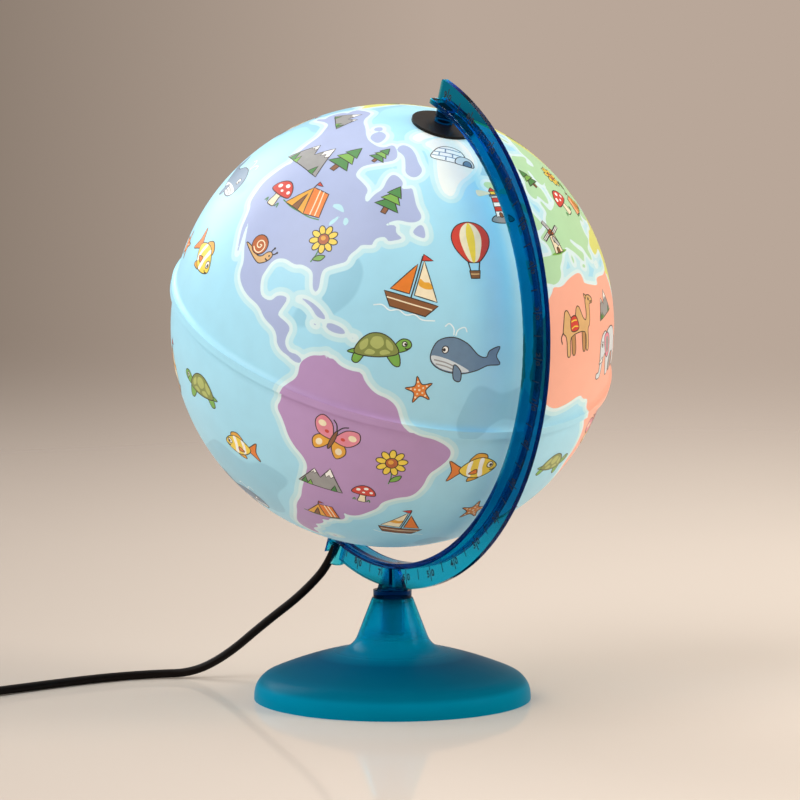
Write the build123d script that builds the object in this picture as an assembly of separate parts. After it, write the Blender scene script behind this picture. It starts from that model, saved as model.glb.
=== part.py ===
from build123d import *
import math
import os

# Desktop globe on a stand, lit from inside, with its mains lead, switch and plug.
# Millimetres, +Z up. The origin is the middle of the foot's underside on the table.
# The arm lies in the XZ plane, on the +X side, and the axis leans to +X.

# Ball
globe_radius = 125.0
globe_wall = 1.5
axis_tilt = 23.5  # degrees that the axis leans from upright
belt_proud = 2.3  # how far the belt stands out of the ball
belt_rise = 1.0  # top of the belt's upright side, above the equator
belt_drop = 3.2  # the belt's lower edge, below the equator
belt_blend = 3.5  # height of the hollow blend above the belt
lap_rise = 1.8  # how far the south half reaches up inside the belt

# Fits
lap_clearance = 0.1  # south half in the belt
seat_gap = 0.05  # round pieces seated in or on each other
running_clearance = 0.06  # on the radius of a bearing
thrust_gap = 0.1  # under the ball's bearing ring
pole_gap = 0.3  # between the arm's boss and the cap

# Arm
globe_gap = 9.3  # between ball and flange
flange_thickness = 3.2
flange_width = 13.0
flange_rounding = 0.7
web_height = 11.5
web_thickness = 3.0
web_corner = 2.0
arm_overrun = 3.5  # degrees past the north pole

# Arm's foot
web_standoff = 1.3  # between the collar and the web's lowest point
web_foot_length = 16.0
collar_radius = 11.0
collar_height = 4.5
fin_thickness = 4.5
fin_top_half = 4.3
fin_foot_half = 9.2
spigot_radius = 5.35
spigot_length = 18.5
joint_overlap = 0.8  # how far two parts of one moulding run into each other

# Foot
foot_radius = 78.8
foot_lip = 2.0  # upright edge at the table
foot_wall = 2.5
shoulder_inset = 8.3  # the shoulder's place, in from the foot's edge
shoulder_height = 14.6
dish_radius = 29.0  # where the dish meets the neck's hollow
dish_height = 27.9
neck_radius = 11.7
neck_height = 57.5
neck_angle = 21.0  # degrees that the neck's side leans
neck_plate = 2.4
spigot_clearance = 0.1
tube_wall = 1.6
tube_floor = 2.2

# Arm's screw and washer
screw_radius = 2.0
screw_length = 15.0
screw_head_radius = 4.0
screw_head_height = 2.6
screw_hole_play = 0.25
washer_radius = 6.2
washer_thickness = 1.0
recess_depth = 1.2
recess_width = 0.9

# North pivot
boss_radius = 5.25
pin_radius = 3.0
pin_length = 11.0  # into the cap
cap_radius = 17.5
cap_thickness = 1.6
cap_hub_wall = 2.5
cap_hub_length = 14.0
retainer_thickness = 1.0
retainer_width = 4.5

# South bearing
bearing_radius = 13.0
ring_hub_wall = 3.0
ring_flange = 5.0  # how far the ring's flange reaches past its hub
ring_hub_length = 14.0

# Arm's south socket
socket_radius = 6.5
socket_bore = 4.5
socket_length = 19.6  # from the pad to its open end
pad_height = 0.9  # flat seat above the flange's inner face
slot_width = 7.4
slot_length = 12.0
finger_short = 4.0  # how much shorter the loose finger is

# Lamp stem
thrust_radius = 15.0
thrust_thickness = 2.5
stem_neck_radius = 8.0
stem_spigot_length = 6.0
bearing_length = 15.3
riser_radius = 11.0
riser_length = 14.0
riser_roof = 3.0
nipple_radius = 5.0
nipple_bore = 3.0
nipple_length = 7.0
chamber_radius = 6.0
chamber_floor = 2.4  # above the stem's seat on the pad
grip_length = 10.0

# Lamp holder
holder_radius = 12.2
holder_length = 44.0
holder_floor = 4.0
holder_lip = 2.0
lip_bore = 8.6
chamber_wall = 3.6  # below the ledge that carries the core
holder_wall = 1.8
core_rise = 17.0
core_thickness = 6.0
nut_flats = 14.0
nut_thickness = 2.6
sleeve_length = 17.0
sleeve_wall = 0.4
screw_play = 0.1  # between the bulb's cap and the sleeve
contact_radius = 2.6
contact_height = 2.2
terminal_radius = 1.5
terminal_offset = 5.0
terminal_drop = 3.0

# Bulb
bulb_cap_radius = 6.95
bulb_cap_length = 18.0
bulb_cap_wall = 0.4
tip_radius = 2.2
tip_height = 1.2
glass_radius = 11.0
glass_wall = 0.7
glass_length = 50.0  # above the cap
glass_entry = 5.0  # inside the cap
glass_neck = 3.0
glass_flare = 9.0
mount_radius = 2.4
mount_length = 16.0
filament_wire = 0.3
filament_half = 4.0
filament_foot_half = 1.5
filament_height = 13.0
filament_bend = 1.5

# Lead: its route, by hand, in the part's frame
cord_radius = 2.5
core_radius = 1.0
core_offset = 1.25
core_bend = 3.0
cord_entry = 7.0  # how far the lead reaches into its grip
cord_mouth_inset = 1.0  # from the socket's open end to the lead's first bend
hanging_points = [
    (-73.5, -13.0, 52.0),
    (-90.0, -29.0, 34.0),
    (-106.0, -45.5, 14.0),
    (-119.5, -60.5, 3.2),
    (-131.5, -79.0, 2.6),
    (-136.5, -107.0, 2.6),
    (-135.5, -139.0, 2.6),
    (-132.5, -168.0, 2.6),
    (-129.2, -192.0, 2.9),
    (-127.2, -207.5, 5.7),
    (-127.0, -221.5, 6.0),
]
link_points = [
    (-127.0, -274.5, 6.0),
    (-127.0, -285.0, 6.0),
    (-127.0, -297.5, 3.9),
    (-127.0, -307.0, 3.9),
]
tail_steps = [
    (0.0, 0.0, 0.0),
    (0.0, 10.0, 0.0),
    (0.0, 22.0, -2.55),
    (0.0, 32.0, -2.55),
]
run_share = 0.45  # share of the shorter run that a bend takes up

# Coil of the lead that is put away
coil_radius = 40.1  # middle of the outermost turn
coil_gap = 0.5  # between turns
coil_half_turns = 7  # in each layer, besides the one that climbs
coil_samples = 24
tie_thickness = 1.0
tie_width = 9.0
tie_play = 0.4
tie_rounding = 2.0

# Switch on the lead
switch_length = 58.0
switch_width = 25.0
switch_middle = 36.0
switch_corner = 6.0
nose_radius = 5.5
switch_wall = 1.8
switch_base_height = 6.0
switch_cover_height = 7.5
switch_bottom_rounding = 1.2
switch_top_rounding = 2.2
rocker_length = 20.0
rocker_width = 10.5
rocker_gap = 0.4
rocker_tilt = 9.0  # degrees each way from level
rocker_depth = 2.2  # below the pivot
rocker_crown = 2.9  # above the pivot, at its middle
pivot_drop = 2.6
trunnion_radius = 1.4
trunnion_length = 1.3  # inside its cheek
cheek_thickness = 1.7
cheek_drop = 3.0
switch_boss_radius = 2.8
switch_boss_x = 17.5
switch_boss_y = 7.0
switch_screw_radius = 1.1
switch_screw_length = 8.5
switch_head_radius = 2.2
switch_head_height = 1.3
switch_pocket = 1.6
contact_strip = (7.0, 5.0, 1.0)
contact_strip_x = 8.0
button_radius = 1.3
lever_length = 20.0
lever_thickness = 0.8
lever_level = 4.6
lever_foot = 2.0

# Plug
plug_length = 35.0
plug_width = 26.0
plug_height = 13.7
plug_front = 16.0
plug_corner = 4.0
plug_tail_radius = 5.0
plug_rounding = 2.4
boot_length = 22.0
boot_radius = 4.8
boot_end_radius = 3.4
boot_entry = 5.0
pin_spacing = 18.6
plug_pin_radius = 2.0
plug_pin_length = 19.0
sleeve_reach = 10.0
pin_core_radius = 1.4
pin_core_depth = 8.0
pin_tip_rounding = 1.2

# Worked out from the sizes above
cord_diameter = 2 * cord_radius
ball_inner = globe_radius - globe_wall
belt_radius = globe_radius + belt_proud
arm_inner = globe_radius + globe_gap
flange_outer = arm_inner + flange_thickness
arm_outer = flange_outer + web_height
collar_top = neck_height + collar_height
globe_height = collar_top + web_standoff + arm_outer
cap_seat = globe_radius + seat_gap
cap_top = cap_seat + cap_thickness
cap_bore = pin_radius + running_clearance
cap_hub = cap_bore + cap_hub_wall
ring_bore = bearing_radius + running_clearance
ring_hub = ring_bore + ring_hub_wall
ring_radius = ring_hub + ring_flange
thrust_level = -(cap_top + thrust_gap)
pad_level = -(arm_inner - pad_height)
socket_end = pad_level - socket_length
spigot_end = pad_level - stem_spigot_length
stem_top = thrust_level + bearing_length + riser_length
nipple_top = stem_top + nipple_length
chamber_level = pad_level + chamber_floor
cord_end_level = chamber_level + cord_entry
holder_top = stem_top + holder_length
core_level = stem_top + core_rise
core_top = core_level + core_thickness
contact_top = core_top + contact_height
bulb_cap_level = contact_top + tip_height
bulb_cap_top = bulb_cap_level + bulb_cap_length
glass_top = bulb_cap_top + glass_length
sleeve_bore = bulb_cap_radius + screw_play

axis_frame = Location((0, 0, globe_height), (0, axis_tilt, 0))  # its +Z is the ball's axis
switch_front = hanging_points[-1]
switch_back = link_points[0]
switch_frame = Location(
    ((switch_front[0] + switch_back[0]) / 2, (switch_front[1] + switch_back[1]) / 2, 0), (0, 0, -90)
)
switch_top = switch_base_height + switch_cover_height
pivot_level = switch_top - pivot_drop


def save(name, shape):
    export_step(shape, f"parts/{name}.step")


def rod(radius, low, high):
    """A round bar on the Z axis between two levels."""
    return Pos(0, 0, low) * Cylinder(radius, high - low, align=(Align.CENTER, Align.CENTER, Align.MIN))


def ring(bore, radius, low, high):
    return rod(radius, low, high) - rod(bore, low, high)


def block(length, width, low, high):
    return Pos(0, 0, low) * Box(length, width, high - low, align=(Align.CENTER, Align.CENTER, Align.MIN))


def turned(edges):
    """A solid turned about the Z axis from edges in the XZ plane."""
    return revolve(make_face(edges), Axis.Z)


def at(radius, level):
    return Vector(radius, 0, level)


def path(*points):
    """Straight edges through the points."""
    return [Line(a, b) for a, b in zip(points, points[1:])]


def height_on(radius, out):
    """Height above the ball's middle of a sphere's point that lies this far out from the axis."""
    return math.sqrt(radius**2 - out**2)


def sphere_arc(radius, start, end):
    """Arc of a sphere about the ball's middle, between two points of the XZ plane that lie on it."""
    middle = (start + end).normalized() * radius
    return ThreePointArc(start, middle, end)


def route_radii(points):
    """The largest bend that each corner of a route allows."""
    corners = [Vector(p) for p in points]
    radii = []
    for before, corner, after in zip(corners, corners[1:], corners[2:]):
        coming = corner - before
        going = after - corner
        half_turn = math.radians(coming.get_angle(going)) / 2
        radii.append(run_share * min(coming.length, going.length) / math.tan(half_turn))
    return radii


def tube(line, radius):
    """A round bar swept along a line."""
    section = Plane(origin=line @ 0, z_dir=line % 0) * Circle(radius)
    return sweep(section, line)


def cord(name, points):
    """A stretch of the lead. Returns its length."""
    radii = route_radii(points)
    line = FilletPolyline(*points, radius=radii)
    shape = tube(line, cord_radius)
    share = shape.volume / (math.pi * cord_radius**2 * line.length)
    print(name, "bends", [round(r) for r in radii], "length", round(line.length, 1), "share", round(share, 4))
    save(name, shape)
    return line.length


def pan_screw(head_radius, head_height, radius, length):
    """A cross-head screw that points up, with the underside of its head at level 0."""
    head = turned(
        [
            *path(at(0, 0), at(head_radius, 0), at(head_radius, -head_height / 2)),
            ThreePointArc(
                at(head_radius, -head_height / 2),
                at(head_radius * 0.8, -head_height * 0.9),
                at(head_radius / 2, -head_height),
            ),
            *path(at(head_radius / 2, -head_height), at(0, -head_height), at(0, 0)),
        ]
    )
    for turn in (0, 90):
        head -= Rot(0, 0, turn) * block(head_radius, recess_width, -head_height, recess_depth - head_height)
    return head + rod(radius, 0, length)


# Ball


def north_half():
    hole = cap_hub + seat_gap
    blend_top = belt_rise + belt_blend
    crown = at(hole, height_on(globe_radius, hole))
    blend_start = at(height_on(globe_radius, blend_top), blend_top)
    blend_end = at(belt_radius, belt_rise)
    lap = globe_radius + lap_clearance
    inner_edge = at(height_on(ball_inner, lap_rise), lap_rise)
    inner_crown = at(hole, height_on(ball_inner, hole))
    return turned(
        [
            sphere_arc(globe_radius, crown, blend_start),
            TangentArc(blend_start, blend_end, tangent=(blend_start.Z, 0, -blend_start.X)),
            *path(blend_end, at(belt_radius, -belt_drop), at(lap, -belt_drop), at(lap, lap_rise), inner_edge),
            sphere_arc(ball_inner, inner_edge, inner_crown),
            Line(inner_crown, crown),
        ]
    )


def south_half():
    hole = ring_hub + seat_gap
    rim = lap_rise - seat_gap
    foot = at(hole, -height_on(globe_radius, hole))
    inner_foot = at(hole, -height_on(ball_inner, hole))
    return turned(
        [
            sphere_arc(globe_radius, foot, at(globe_radius, 0)),
            *path(at(globe_radius, 0), at(globe_radius, rim), at(ball_inner, rim), at(ball_inner, 0)),
            sphere_arc(ball_inner, at(ball_inner, 0), inner_foot),
            Line(inner_foot, foot),
        ]
    )


def pole_bush(bore, hub, radius, hub_length):
    """A bearing bush at the north pole: a flange that follows the ball, and a hub through it."""
    lip = at(hub, height_on(cap_top, hub))
    rim = at(radius, height_on(cap_top, radius))
    seat_rim = at(radius, height_on(cap_seat, radius))
    seat = at(hub, height_on(cap_seat, hub))
    end = cap_top - hub_length
    return turned(
        [
            *path(at(bore, cap_top), at(hub, cap_top), lip),
            sphere_arc(cap_top, lip, rim),
            Line(rim, seat_rim),
            sphere_arc(cap_seat, seat_rim, seat),
            *path(seat, at(hub, end), at(bore, end), at(bore, cap_top)),
        ]
    )


def retainer(hub):
    """A push-on ring that grips a hub inside the ball, against the ball's inner face."""
    radius = hub + retainer_width
    top = height_on(ball_inner, radius) - seat_gap
    return ring(hub + seat_gap, radius, top - retainer_thickness, top)


# Arm


def arm_arc():
    """The half circle, its north boss and pin, and its south socket, about the ball's middle."""
    sweep_angle = 180 + arm_overrun
    start = Rot(0, -90 - arm_overrun, 0)
    section = Pos((arm_inner + flange_outer) / 2, 0) * RectangleRounded(
        flange_thickness, flange_width, flange_rounding
    )
    flange = revolve(start * section, Axis.Y, sweep_angle)
    web_inner = flange_outer - joint_overlap
    inner_line = CenterArc((0, 0), web_inner, 0, -sweep_angle)
    outer_line = CenterArc((0, 0), arm_outer, 0, -sweep_angle)
    sides = [Line(inner_line @ end, outer_line @ end) for end in (0, 1)]
    plate = make_face([inner_line, outer_line, *sides])
    corner = plate.vertices().sort_by_distance(Vector(arm_outer, 0, 0))[0]
    plate = fillet(corner, web_corner)
    web = start * extrude(Plane.XZ * plate, web_thickness / 2, both=True)
    boss = rod(boss_radius, cap_top + pole_gap, arm_inner + joint_overlap)
    pin = rod(pin_radius, cap_top - pin_length, cap_top + pole_gap)
    socket = rod(socket_radius, socket_end, pad_level)
    finger_edge = -slot_width / 2
    bore = rod(socket_bore, socket_end, pad_level)
    slot = block(slot_width, 2 * flange_width, socket_end, socket_end + slot_length)
    finger_cut = Pos(finger_edge - socket_radius / 2, 0) * block(
        socket_radius, 2 * flange_width, socket_end, socket_end + finger_short
    )
    return flange + web + boss + pin + socket - bore - slot - finger_cut


def arm_foot():
    """The collar, fin and spigot that carry the arm on the foot."""
    flange_level = globe_height - flange_outer + joint_overlap
    fin_outline = Polyline(
        (0, -fin_top_half, flange_level),
        (0, fin_top_half, flange_level),
        (0, fin_foot_half, collar_top),
        (0, -fin_foot_half, collar_top),
        close=True,
    )
    fin = extrude(make_face(fin_outline), fin_thickness / 2, both=True)
    web_foot = block(web_foot_length, web_thickness, collar_top, collar_top + web_standoff + web_corner)
    collar = rod(collar_radius, neck_height, collar_top)
    spigot_level = neck_height - spigot_length
    spigot = rod(spigot_radius, spigot_level, neck_height)
    pilot = rod(screw_radius + seat_gap, spigot_level, spigot_level + screw_length)
    return fin + web_foot + collar + spigot - pilot


# Foot


def foot_outline(inset):
    """Edges of the foot's outline from the table to the top of its neck, set in by a wall."""
    drop = shoulder_inset
    rise = shoulder_height - foot_lip
    rim_radius = (drop**2 + rise**2) / (2 * drop)
    shoulder = at(foot_radius - shoulder_inset, shoulder_height)
    shoulder_way = at(-rise / rim_radius, (rim_radius - drop) / rim_radius)
    dish = at(dish_radius, dish_height)
    chord = (dish - shoulder).normalized()
    dish_way = chord * (2 * shoulder_way.dot(chord)) - shoulder_way
    lean = math.radians(neck_angle)
    neck_way = at(-math.sin(lean), math.cos(lean))
    neck_end = at(neck_radius, neck_height)
    across = neck_end - dish
    turn = dish_way.X * neck_way.Z - dish_way.Z * neck_way.X
    reach = (across.X * neck_way.Z - across.Z * neck_way.X) / turn
    hollow_end = dish + dish_way * reach + neck_way * reach

    def inward(point, way):
        return point - at(way.Z, -way.X) * inset

    base = at(foot_radius - inset, 0)
    lip = at(foot_radius - inset, foot_lip)
    shoulder_in = inward(shoulder, shoulder_way)
    dish_in = inward(dish, dish_way)
    hollow_in = inward(hollow_end, neck_way)
    top_level = neck_height - (neck_plate if inset else 0)
    top = hollow_in + neck_way * ((top_level - hollow_in.Z) / neck_way.Z)
    return [
        Line(at(0, 0), base),
        Line(base, lip),
        TangentArc(lip, shoulder_in, tangent=(0, 0, 1)),
        TangentArc(shoulder_in, dish_in, tangent=shoulder_way),
        TangentArc(dish_in, hollow_in, tangent=dish_way),
        *path(hollow_in, top, at(0, top_level), at(0, 0)),
    ]


def foot_shell():
    bore = spigot_radius + spigot_clearance
    tube_end = neck_height - spigot_length - spigot_clearance - tube_floor
    shell = turned(foot_outline(0)) - turned(foot_outline(foot_wall))
    shell += rod(bore + tube_wall, tube_end, neck_height)
    shell -= rod(bore, tube_end + tube_floor, neck_height)
    return shell - rod(screw_radius + screw_hole_play, tube_end, tube_end + tube_floor), tube_end


# Lamp


def lamp_stem():
    bearing_top = thrust_level + bearing_length
    body = rod(stem_neck_radius, pad_level, thrust_level)
    body += rod(socket_bore - seat_gap, spigot_end, pad_level)
    body += rod(thrust_radius, thrust_level - thrust_thickness, thrust_level)
    body += rod(bearing_radius, thrust_level, bearing_top)
    body += rod(riser_radius, bearing_top, stem_top)
    body += rod(nipple_radius, stem_top, nipple_top)
    body -= rod(cord_radius + seat_gap, spigot_end, chamber_level)
    body -= rod(chamber_radius, chamber_level, stem_top - riser_roof)
    return body - rod(nipple_bore, stem_top - riser_roof, nipple_top)


def lamp_wire(side):
    """One core of the lead, from the lead's end to a terminal."""
    line = FilletPolyline(
        (0, side * core_offset, cord_end_level),
        (0, side * core_offset, nipple_top + core_bend),
        (0, side * terminal_offset, core_level - terminal_drop - core_bend),
        (0, side * terminal_offset, core_level - terminal_drop),
        radius=core_bend,
    )
    return tube(line, core_radius)


def lamp_holder():
    body = rod(holder_radius, stem_top, holder_top)
    body -= rod(nipple_radius + seat_gap, stem_top, stem_top + holder_floor)
    body -= rod(holder_radius - chamber_wall, stem_top + holder_floor, core_level)
    body -= rod(holder_radius - holder_wall, core_level, holder_top - holder_lip)
    return body - rod(lip_bore, holder_top - holder_lip, holder_top)


def holder_core():
    body = rod(holder_radius - holder_wall - seat_gap, core_level, core_top)
    for side in (1, -1):
        body -= Pos(0, side * terminal_offset) * rod(terminal_radius + seat_gap, core_level, core_top)
    return body


def holder_nut():
    low = stem_top + holder_floor
    hexagon = RegularPolygon(nut_flats / 2, 6, major_radius=False)
    return Pos(0, 0, low) * extrude(hexagon, nut_thickness) - rod(
        nipple_radius + seat_gap, low, low + nut_thickness
    )


def bulb_cap():
    bore = bulb_cap_radius - bulb_cap_wall
    return rod(bulb_cap_radius, bulb_cap_level, bulb_cap_top) - rod(
        bore, bulb_cap_level + bulb_cap_wall, bulb_cap_top
    )


def glass_body(inset):
    """The bulb's glass, filled, set in by a wall."""
    neck = bulb_cap_radius - bulb_cap_wall - seat_gap - inset
    wide = glass_radius - inset
    low = bulb_cap_top - glass_entry + inset
    neck_top = bulb_cap_top + glass_neck
    flare_top = neck_top + glass_flare
    dome = glass_top - glass_radius
    crown = math.sqrt(0.5) * wide
    return turned(
        [
            *path(at(0, low), at(neck, low), at(neck, neck_top), at(wide, flare_top), at(wide, dome)),
            ThreePointArc(at(wide, dome), at(crown, dome + crown), at(0, dome + wide)),
            Line(at(0, dome + wide), at(0, low)),
        ]
    )


def bulb_filament():
    low = bulb_cap_top - glass_entry + glass_wall + mount_length
    line = FilletPolyline(
        (-filament_foot_half, 0, low),
        (-filament_half, 0, low + filament_height),
        (filament_half, 0, low + filament_height),
        (filament_foot_half, 0, low),
        radius=filament_bend,
    )
    return tube(line, filament_wire)


# Switch


def switch_outline(inset):
    middle = RectangleRounded(switch_middle - 2 * inset, switch_width - 2 * inset, switch_corner - inset)
    nose = Circle(nose_radius - inset)
    reach = switch_length / 2 - nose_radius
    return make_hull([*middle.edges(), *(Pos(reach, 0) * nose).edges(), *(Pos(-reach, 0) * nose).edges()])


def cord_holes():
    along = Rot(0, 90, 0) * rod(cord_radius + seat_gap, -switch_length, switch_length)
    return Pos(0, 0, switch_base_height) * along


def switch_boss_places():
    return [Pos(switch_boss_x, switch_boss_y), Pos(-switch_boss_x, -switch_boss_y)]


def switch_base():
    body = extrude(switch_outline(0), switch_base_height)
    body = fillet(body.faces().sort_by(Axis.Z)[0].edges(), switch_bottom_rounding)
    body -= Pos(0, 0, switch_wall) * extrude(switch_outline(switch_wall), switch_base_height)
    for place in switch_boss_places():
        body += place * rod(switch_boss_radius, 0, switch_base_height)
        body -= place * rod(switch_screw_radius + screw_hole_play, 0, switch_base_height)
        body -= place * rod(switch_head_radius + screw_hole_play, 0, switch_pocket)
    return body - cord_holes()


def switch_cover():
    roof = switch_top - switch_wall
    body = Pos(0, 0, switch_base_height) * extrude(switch_outline(0), switch_cover_height)
    body = fillet(body.faces().sort_by(Axis.Z)[-1].edges(), switch_top_rounding)
    cavity = Pos(0, 0, switch_base_height) * extrude(
        switch_outline(switch_wall), switch_cover_height - switch_wall
    )
    body -= cavity
    opening_width = rocker_width + 2 * rocker_gap
    cheek_y = (opening_width + cheek_thickness) / 2
    for side in (1, -1):
        body += Pos(0, side * cheek_y) * block(
            rocker_length, cheek_thickness, pivot_level - cheek_drop, switch_top - switch_wall / 2
        )
    for place in switch_boss_places():
        body += place * rod(switch_boss_radius, switch_base_height, roof)
        body -= place * rod(switch_screw_radius + seat_gap, switch_base_height, roof)
    body -= block(rocker_length + 2 * rocker_gap, opening_width, switch_base_height, switch_top)
    bearing = Rot(90, 0, 0) * rod(trunnion_radius + running_clearance, -switch_width, switch_width)
    cheeks_only = Box(rocker_length, opening_width + 2 * cheek_thickness, rocker_length)
    body -= Pos(0, 0, pivot_level) * (bearing & cheeks_only)
    return body - cord_holes()


def switch_rocker():
    """The rocker about its pivot, level, and then tipped to the side that is on."""
    reach = rocker_length / 2
    crest = rocker_crown + reach * math.tan(math.radians(rocker_tilt))
    outline = Polyline(
        (-reach, 0, -rocker_depth),
        (reach, 0, -rocker_depth),
        (reach, 0, crest),
        (0, 0, rocker_crown),
        (-reach, 0, crest),
        close=True,
    )
    wedge = extrude(make_face(outline), rocker_width / 2, both=True)
    drum = Rot(90, 0, 0) * rod(reach, -rocker_width / 2, rocker_width / 2)
    pivot_half = rocker_width / 2 + rocker_gap + trunnion_length
    trunnions = Rot(90, 0, 0) * rod(trunnion_radius, -pivot_half, pivot_half)
    return Pos(0, 0, pivot_level) * Rot(0, rocker_tilt, 0) * ((wedge & drum) + trunnions)


def switch_contacts():
    length, width, thickness = contact_strip
    strips = []
    for side, reach in ((1, lever_level), (-1, lever_level - lever_thickness)):
        strip = block(length, width, switch_wall, switch_wall + thickness)
        strip += rod(button_radius, switch_wall + thickness, reach)
        strips.append(Pos(side * contact_strip_x, 0) * strip)
    return Compound(children=strips)


def switch_lever():
    width = contact_strip[1]
    strip = block(lever_length, width, lever_level, lever_level + lever_thickness)
    return strip + block(lever_foot, width, switch_wall, lever_level)


# Plug, along +X from its tail


def plug_body():
    front = Pos(plug_length - plug_front / 2, 0) * RectangleRounded(plug_front, plug_width, plug_corner)
    tail = Pos(plug_tail_radius, 0) * Circle(plug_tail_radius)
    body = extrude(make_hull([*front.edges(), *tail.edges()]), plug_height)
    body = fillet(body.faces().filter_by(Axis.Z).edges(), plug_rounding)
    boot_line = [
        *path(
            at(0, plug_tail_radius),
            at(boot_radius, plug_tail_radius),
            at(boot_end_radius, -boot_length),
            at(0, -boot_length),
            at(0, plug_tail_radius),
        )
    ]
    boot = turned(boot_line) - rod(cord_radius + seat_gap, -boot_length, boot_entry - boot_length)
    body += Pos(0, 0, plug_height / 2) * Rot(0, 90, 0) * boot
    for place in plug_pin_places():
        body += place * rod(plug_pin_radius, plug_length, plug_length + sleeve_reach)
        body -= place * rod(
            pin_core_radius + seat_gap, plug_length - pin_core_depth, plug_length + sleeve_reach
        )
    return body


def plug_pin_places():
    """Frames whose +Z runs along each pin."""
    return [Pos(0, side * pin_spacing / 2, plug_height / 2) * Rot(0, 90, 0) for side in (1, -1)]


def plug_pin():
    sleeve_end = plug_length + sleeve_reach
    tip = rod(plug_pin_radius, sleeve_end, plug_length + plug_pin_length)
    tip = fillet(tip.edges().sort_by(Axis.Z)[-1], pin_tip_rounding)
    return tip + rod(pin_core_radius, plug_length - pin_core_depth, sleeve_end)


# Coil


def coil_stops():
    """The points where the coil's half turns meet, on alternate sides of its middle."""
    start = Vector(link_points[-1])
    pitch = cord_diameter + coil_gap
    middle = Vector(start.X - coil_radius, start.Y - cord_diameter, 0)
    climb_from = coil_half_turns
    stops = []
    for step in range(2 * coil_half_turns + 2):
        inward = step if step <= climb_from + 1 else 2 * climb_from + 1 - step
        side = 1 if step % 2 == 0 else -1
        layer = 0 if step <= climb_from else 1
        out = coil_radius - inward * pitch / 2
        stops.append(Vector(middle.X + side * out, middle.Y, start.Z + layer * pitch))
    return stops


def half_turn_frame(start, end, step):
    """Middle, half the width and heading of a half turn."""
    heading = Vector(0, -1 if step % 2 == 0 else 1, 0)
    return (start + end) / 2, (end - start) / 2, heading


def coil_line(stops):
    lead_in = Vector(0, cord_diameter, 0)
    edges = [Line(stops[0] + lead_in, stops[0])]
    for step, (start, end) in enumerate(zip(stops, stops[1:])):
        middle, arm, heading = half_turn_frame(start, end, step)
        edges.append(ThreePointArc(start, middle + heading * arm.length, end))
    edges.append(Line(stops[-1], stops[-1] + lead_in))
    return Wire(edges)


def coil_points(stops):
    """Points along the middle of the coil's turns."""
    points = []
    for step, (start, end) in enumerate(zip(stops, stops[1:])):
        middle, arm, heading = half_turn_frame(start, end, step)
        for sample in range(coil_samples):
            angle = math.pi * sample / coil_samples
            points.append(middle - arm * math.cos(angle) + heading * arm.length * math.sin(angle))
    return points


def coil_least_gap(points):
    """The least clear space between two turns."""
    near = coil_samples // 2
    least = min(
        (a - b).length for i, a in enumerate(points) for b in points[i + near :]
    )
    return least - cord_diameter


def coil_tie(points, middle):
    """A strap round the bundle of turns, on the -Y side of the coil."""
    across = [p for p in points if abs(p.X - middle.X) < tie_width and p.Y < middle.Y]
    margin = cord_radius + tie_play
    near = max(p.Y for p in across) + margin
    far = min(p.Y for p in across) - margin
    top = max(p.Z for p in across) + margin
    window = Rectangle(near - far, top - tie_thickness)
    strap = RectangleRounded(near - far + 2 * tie_thickness, top + tie_thickness, tie_rounding) - window
    centre = Pos(middle.X, (near + far) / 2, (top + tie_thickness) / 2)
    return centre * extrude(Plane.YZ * strap, tie_width / 2, both=True)


# Build

os.makedirs("parts", exist_ok=True)

save("north_hemisphere", axis_frame * north_half())
save("south_hemisphere", axis_frame * south_half())
save("north_pole_cap", axis_frame * pole_bush(cap_bore, cap_hub, cap_radius, cap_hub_length))
save("north_retainer", axis_frame * retainer(cap_hub))
over = Rot(180, 0, 0)
save("south_pole_ring", axis_frame * over * pole_bush(ring_bore, ring_hub, ring_radius, ring_hub_length))
save("south_retainer", axis_frame * over * retainer(ring_hub))

save("meridian_arm", axis_frame * arm_arc() + arm_foot())
shell, tube_end = foot_shell()
save("base_shell", shell)
washer_level = tube_end - washer_thickness
save("arm_washer", ring(screw_radius + screw_hole_play, washer_radius, washer_level, tube_end))
arm_screw = pan_screw(screw_head_radius, screw_head_height, screw_radius, screw_length)
save("arm_screw", Pos(0, 0, washer_level) * arm_screw)

save("lamp_stem", axis_frame * lamp_stem())
grip = ring(cord_radius + seat_gap, chamber_radius - seat_gap, chamber_level, chamber_level + grip_length)
save("cord_grip", axis_frame * grip)
save("live_wire", axis_frame * lamp_wire(1))
save("neutral_wire", axis_frame * lamp_wire(-1))
save("lamp_holder", axis_frame * lamp_holder())
save("holder_nut", axis_frame * holder_nut())
save("holder_core", axis_frame * holder_core())
save("holder_sleeve", axis_frame * ring(sleeve_bore, sleeve_bore + sleeve_wall, core_top, core_top + sleeve_length))
save("holder_contact", axis_frame * rod(contact_radius, core_top, contact_top))
posts = [
    axis_frame * Pos(0, side * terminal_offset) * rod(terminal_radius, core_level - terminal_drop, core_top)
    for side in (1, -1)
]
save("holder_terminals", Compound(children=posts))
save("bulb_contact", axis_frame * rod(tip_radius, contact_top, bulb_cap_level))
save("bulb_cap", axis_frame * bulb_cap())
save("bulb_glass", axis_frame * (glass_body(0) - glass_body(glass_wall)))
mount_level = bulb_cap_top - glass_entry + glass_wall
save("bulb_mount", axis_frame * rod(mount_radius, mount_level, mount_level + mount_length))
save("bulb_filament", axis_frame * bulb_filament())

inner_end = axis_frame * Pos(0, 0, cord_end_level)
mouth = axis_frame * Pos(0, 0, socket_end + cord_mouth_inset)
lead_length = cord("cord_lead", [inner_end.position, mouth.position, *hanging_points])
link_length = cord("cord_link", link_points)

stops = coil_stops()
coil = coil_line(stops)
turns = coil_points(stops)
coil_middle = Vector(stops[0].X - coil_radius, stops[0].Y, 0)
save("cord_coil", tube(coil, cord_radius))
save("coil_tie", coil_tie(turns, coil_middle))
print("coil least gap", round(coil_least_gap(turns), 2), "length", round(coil.length, 1))

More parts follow.
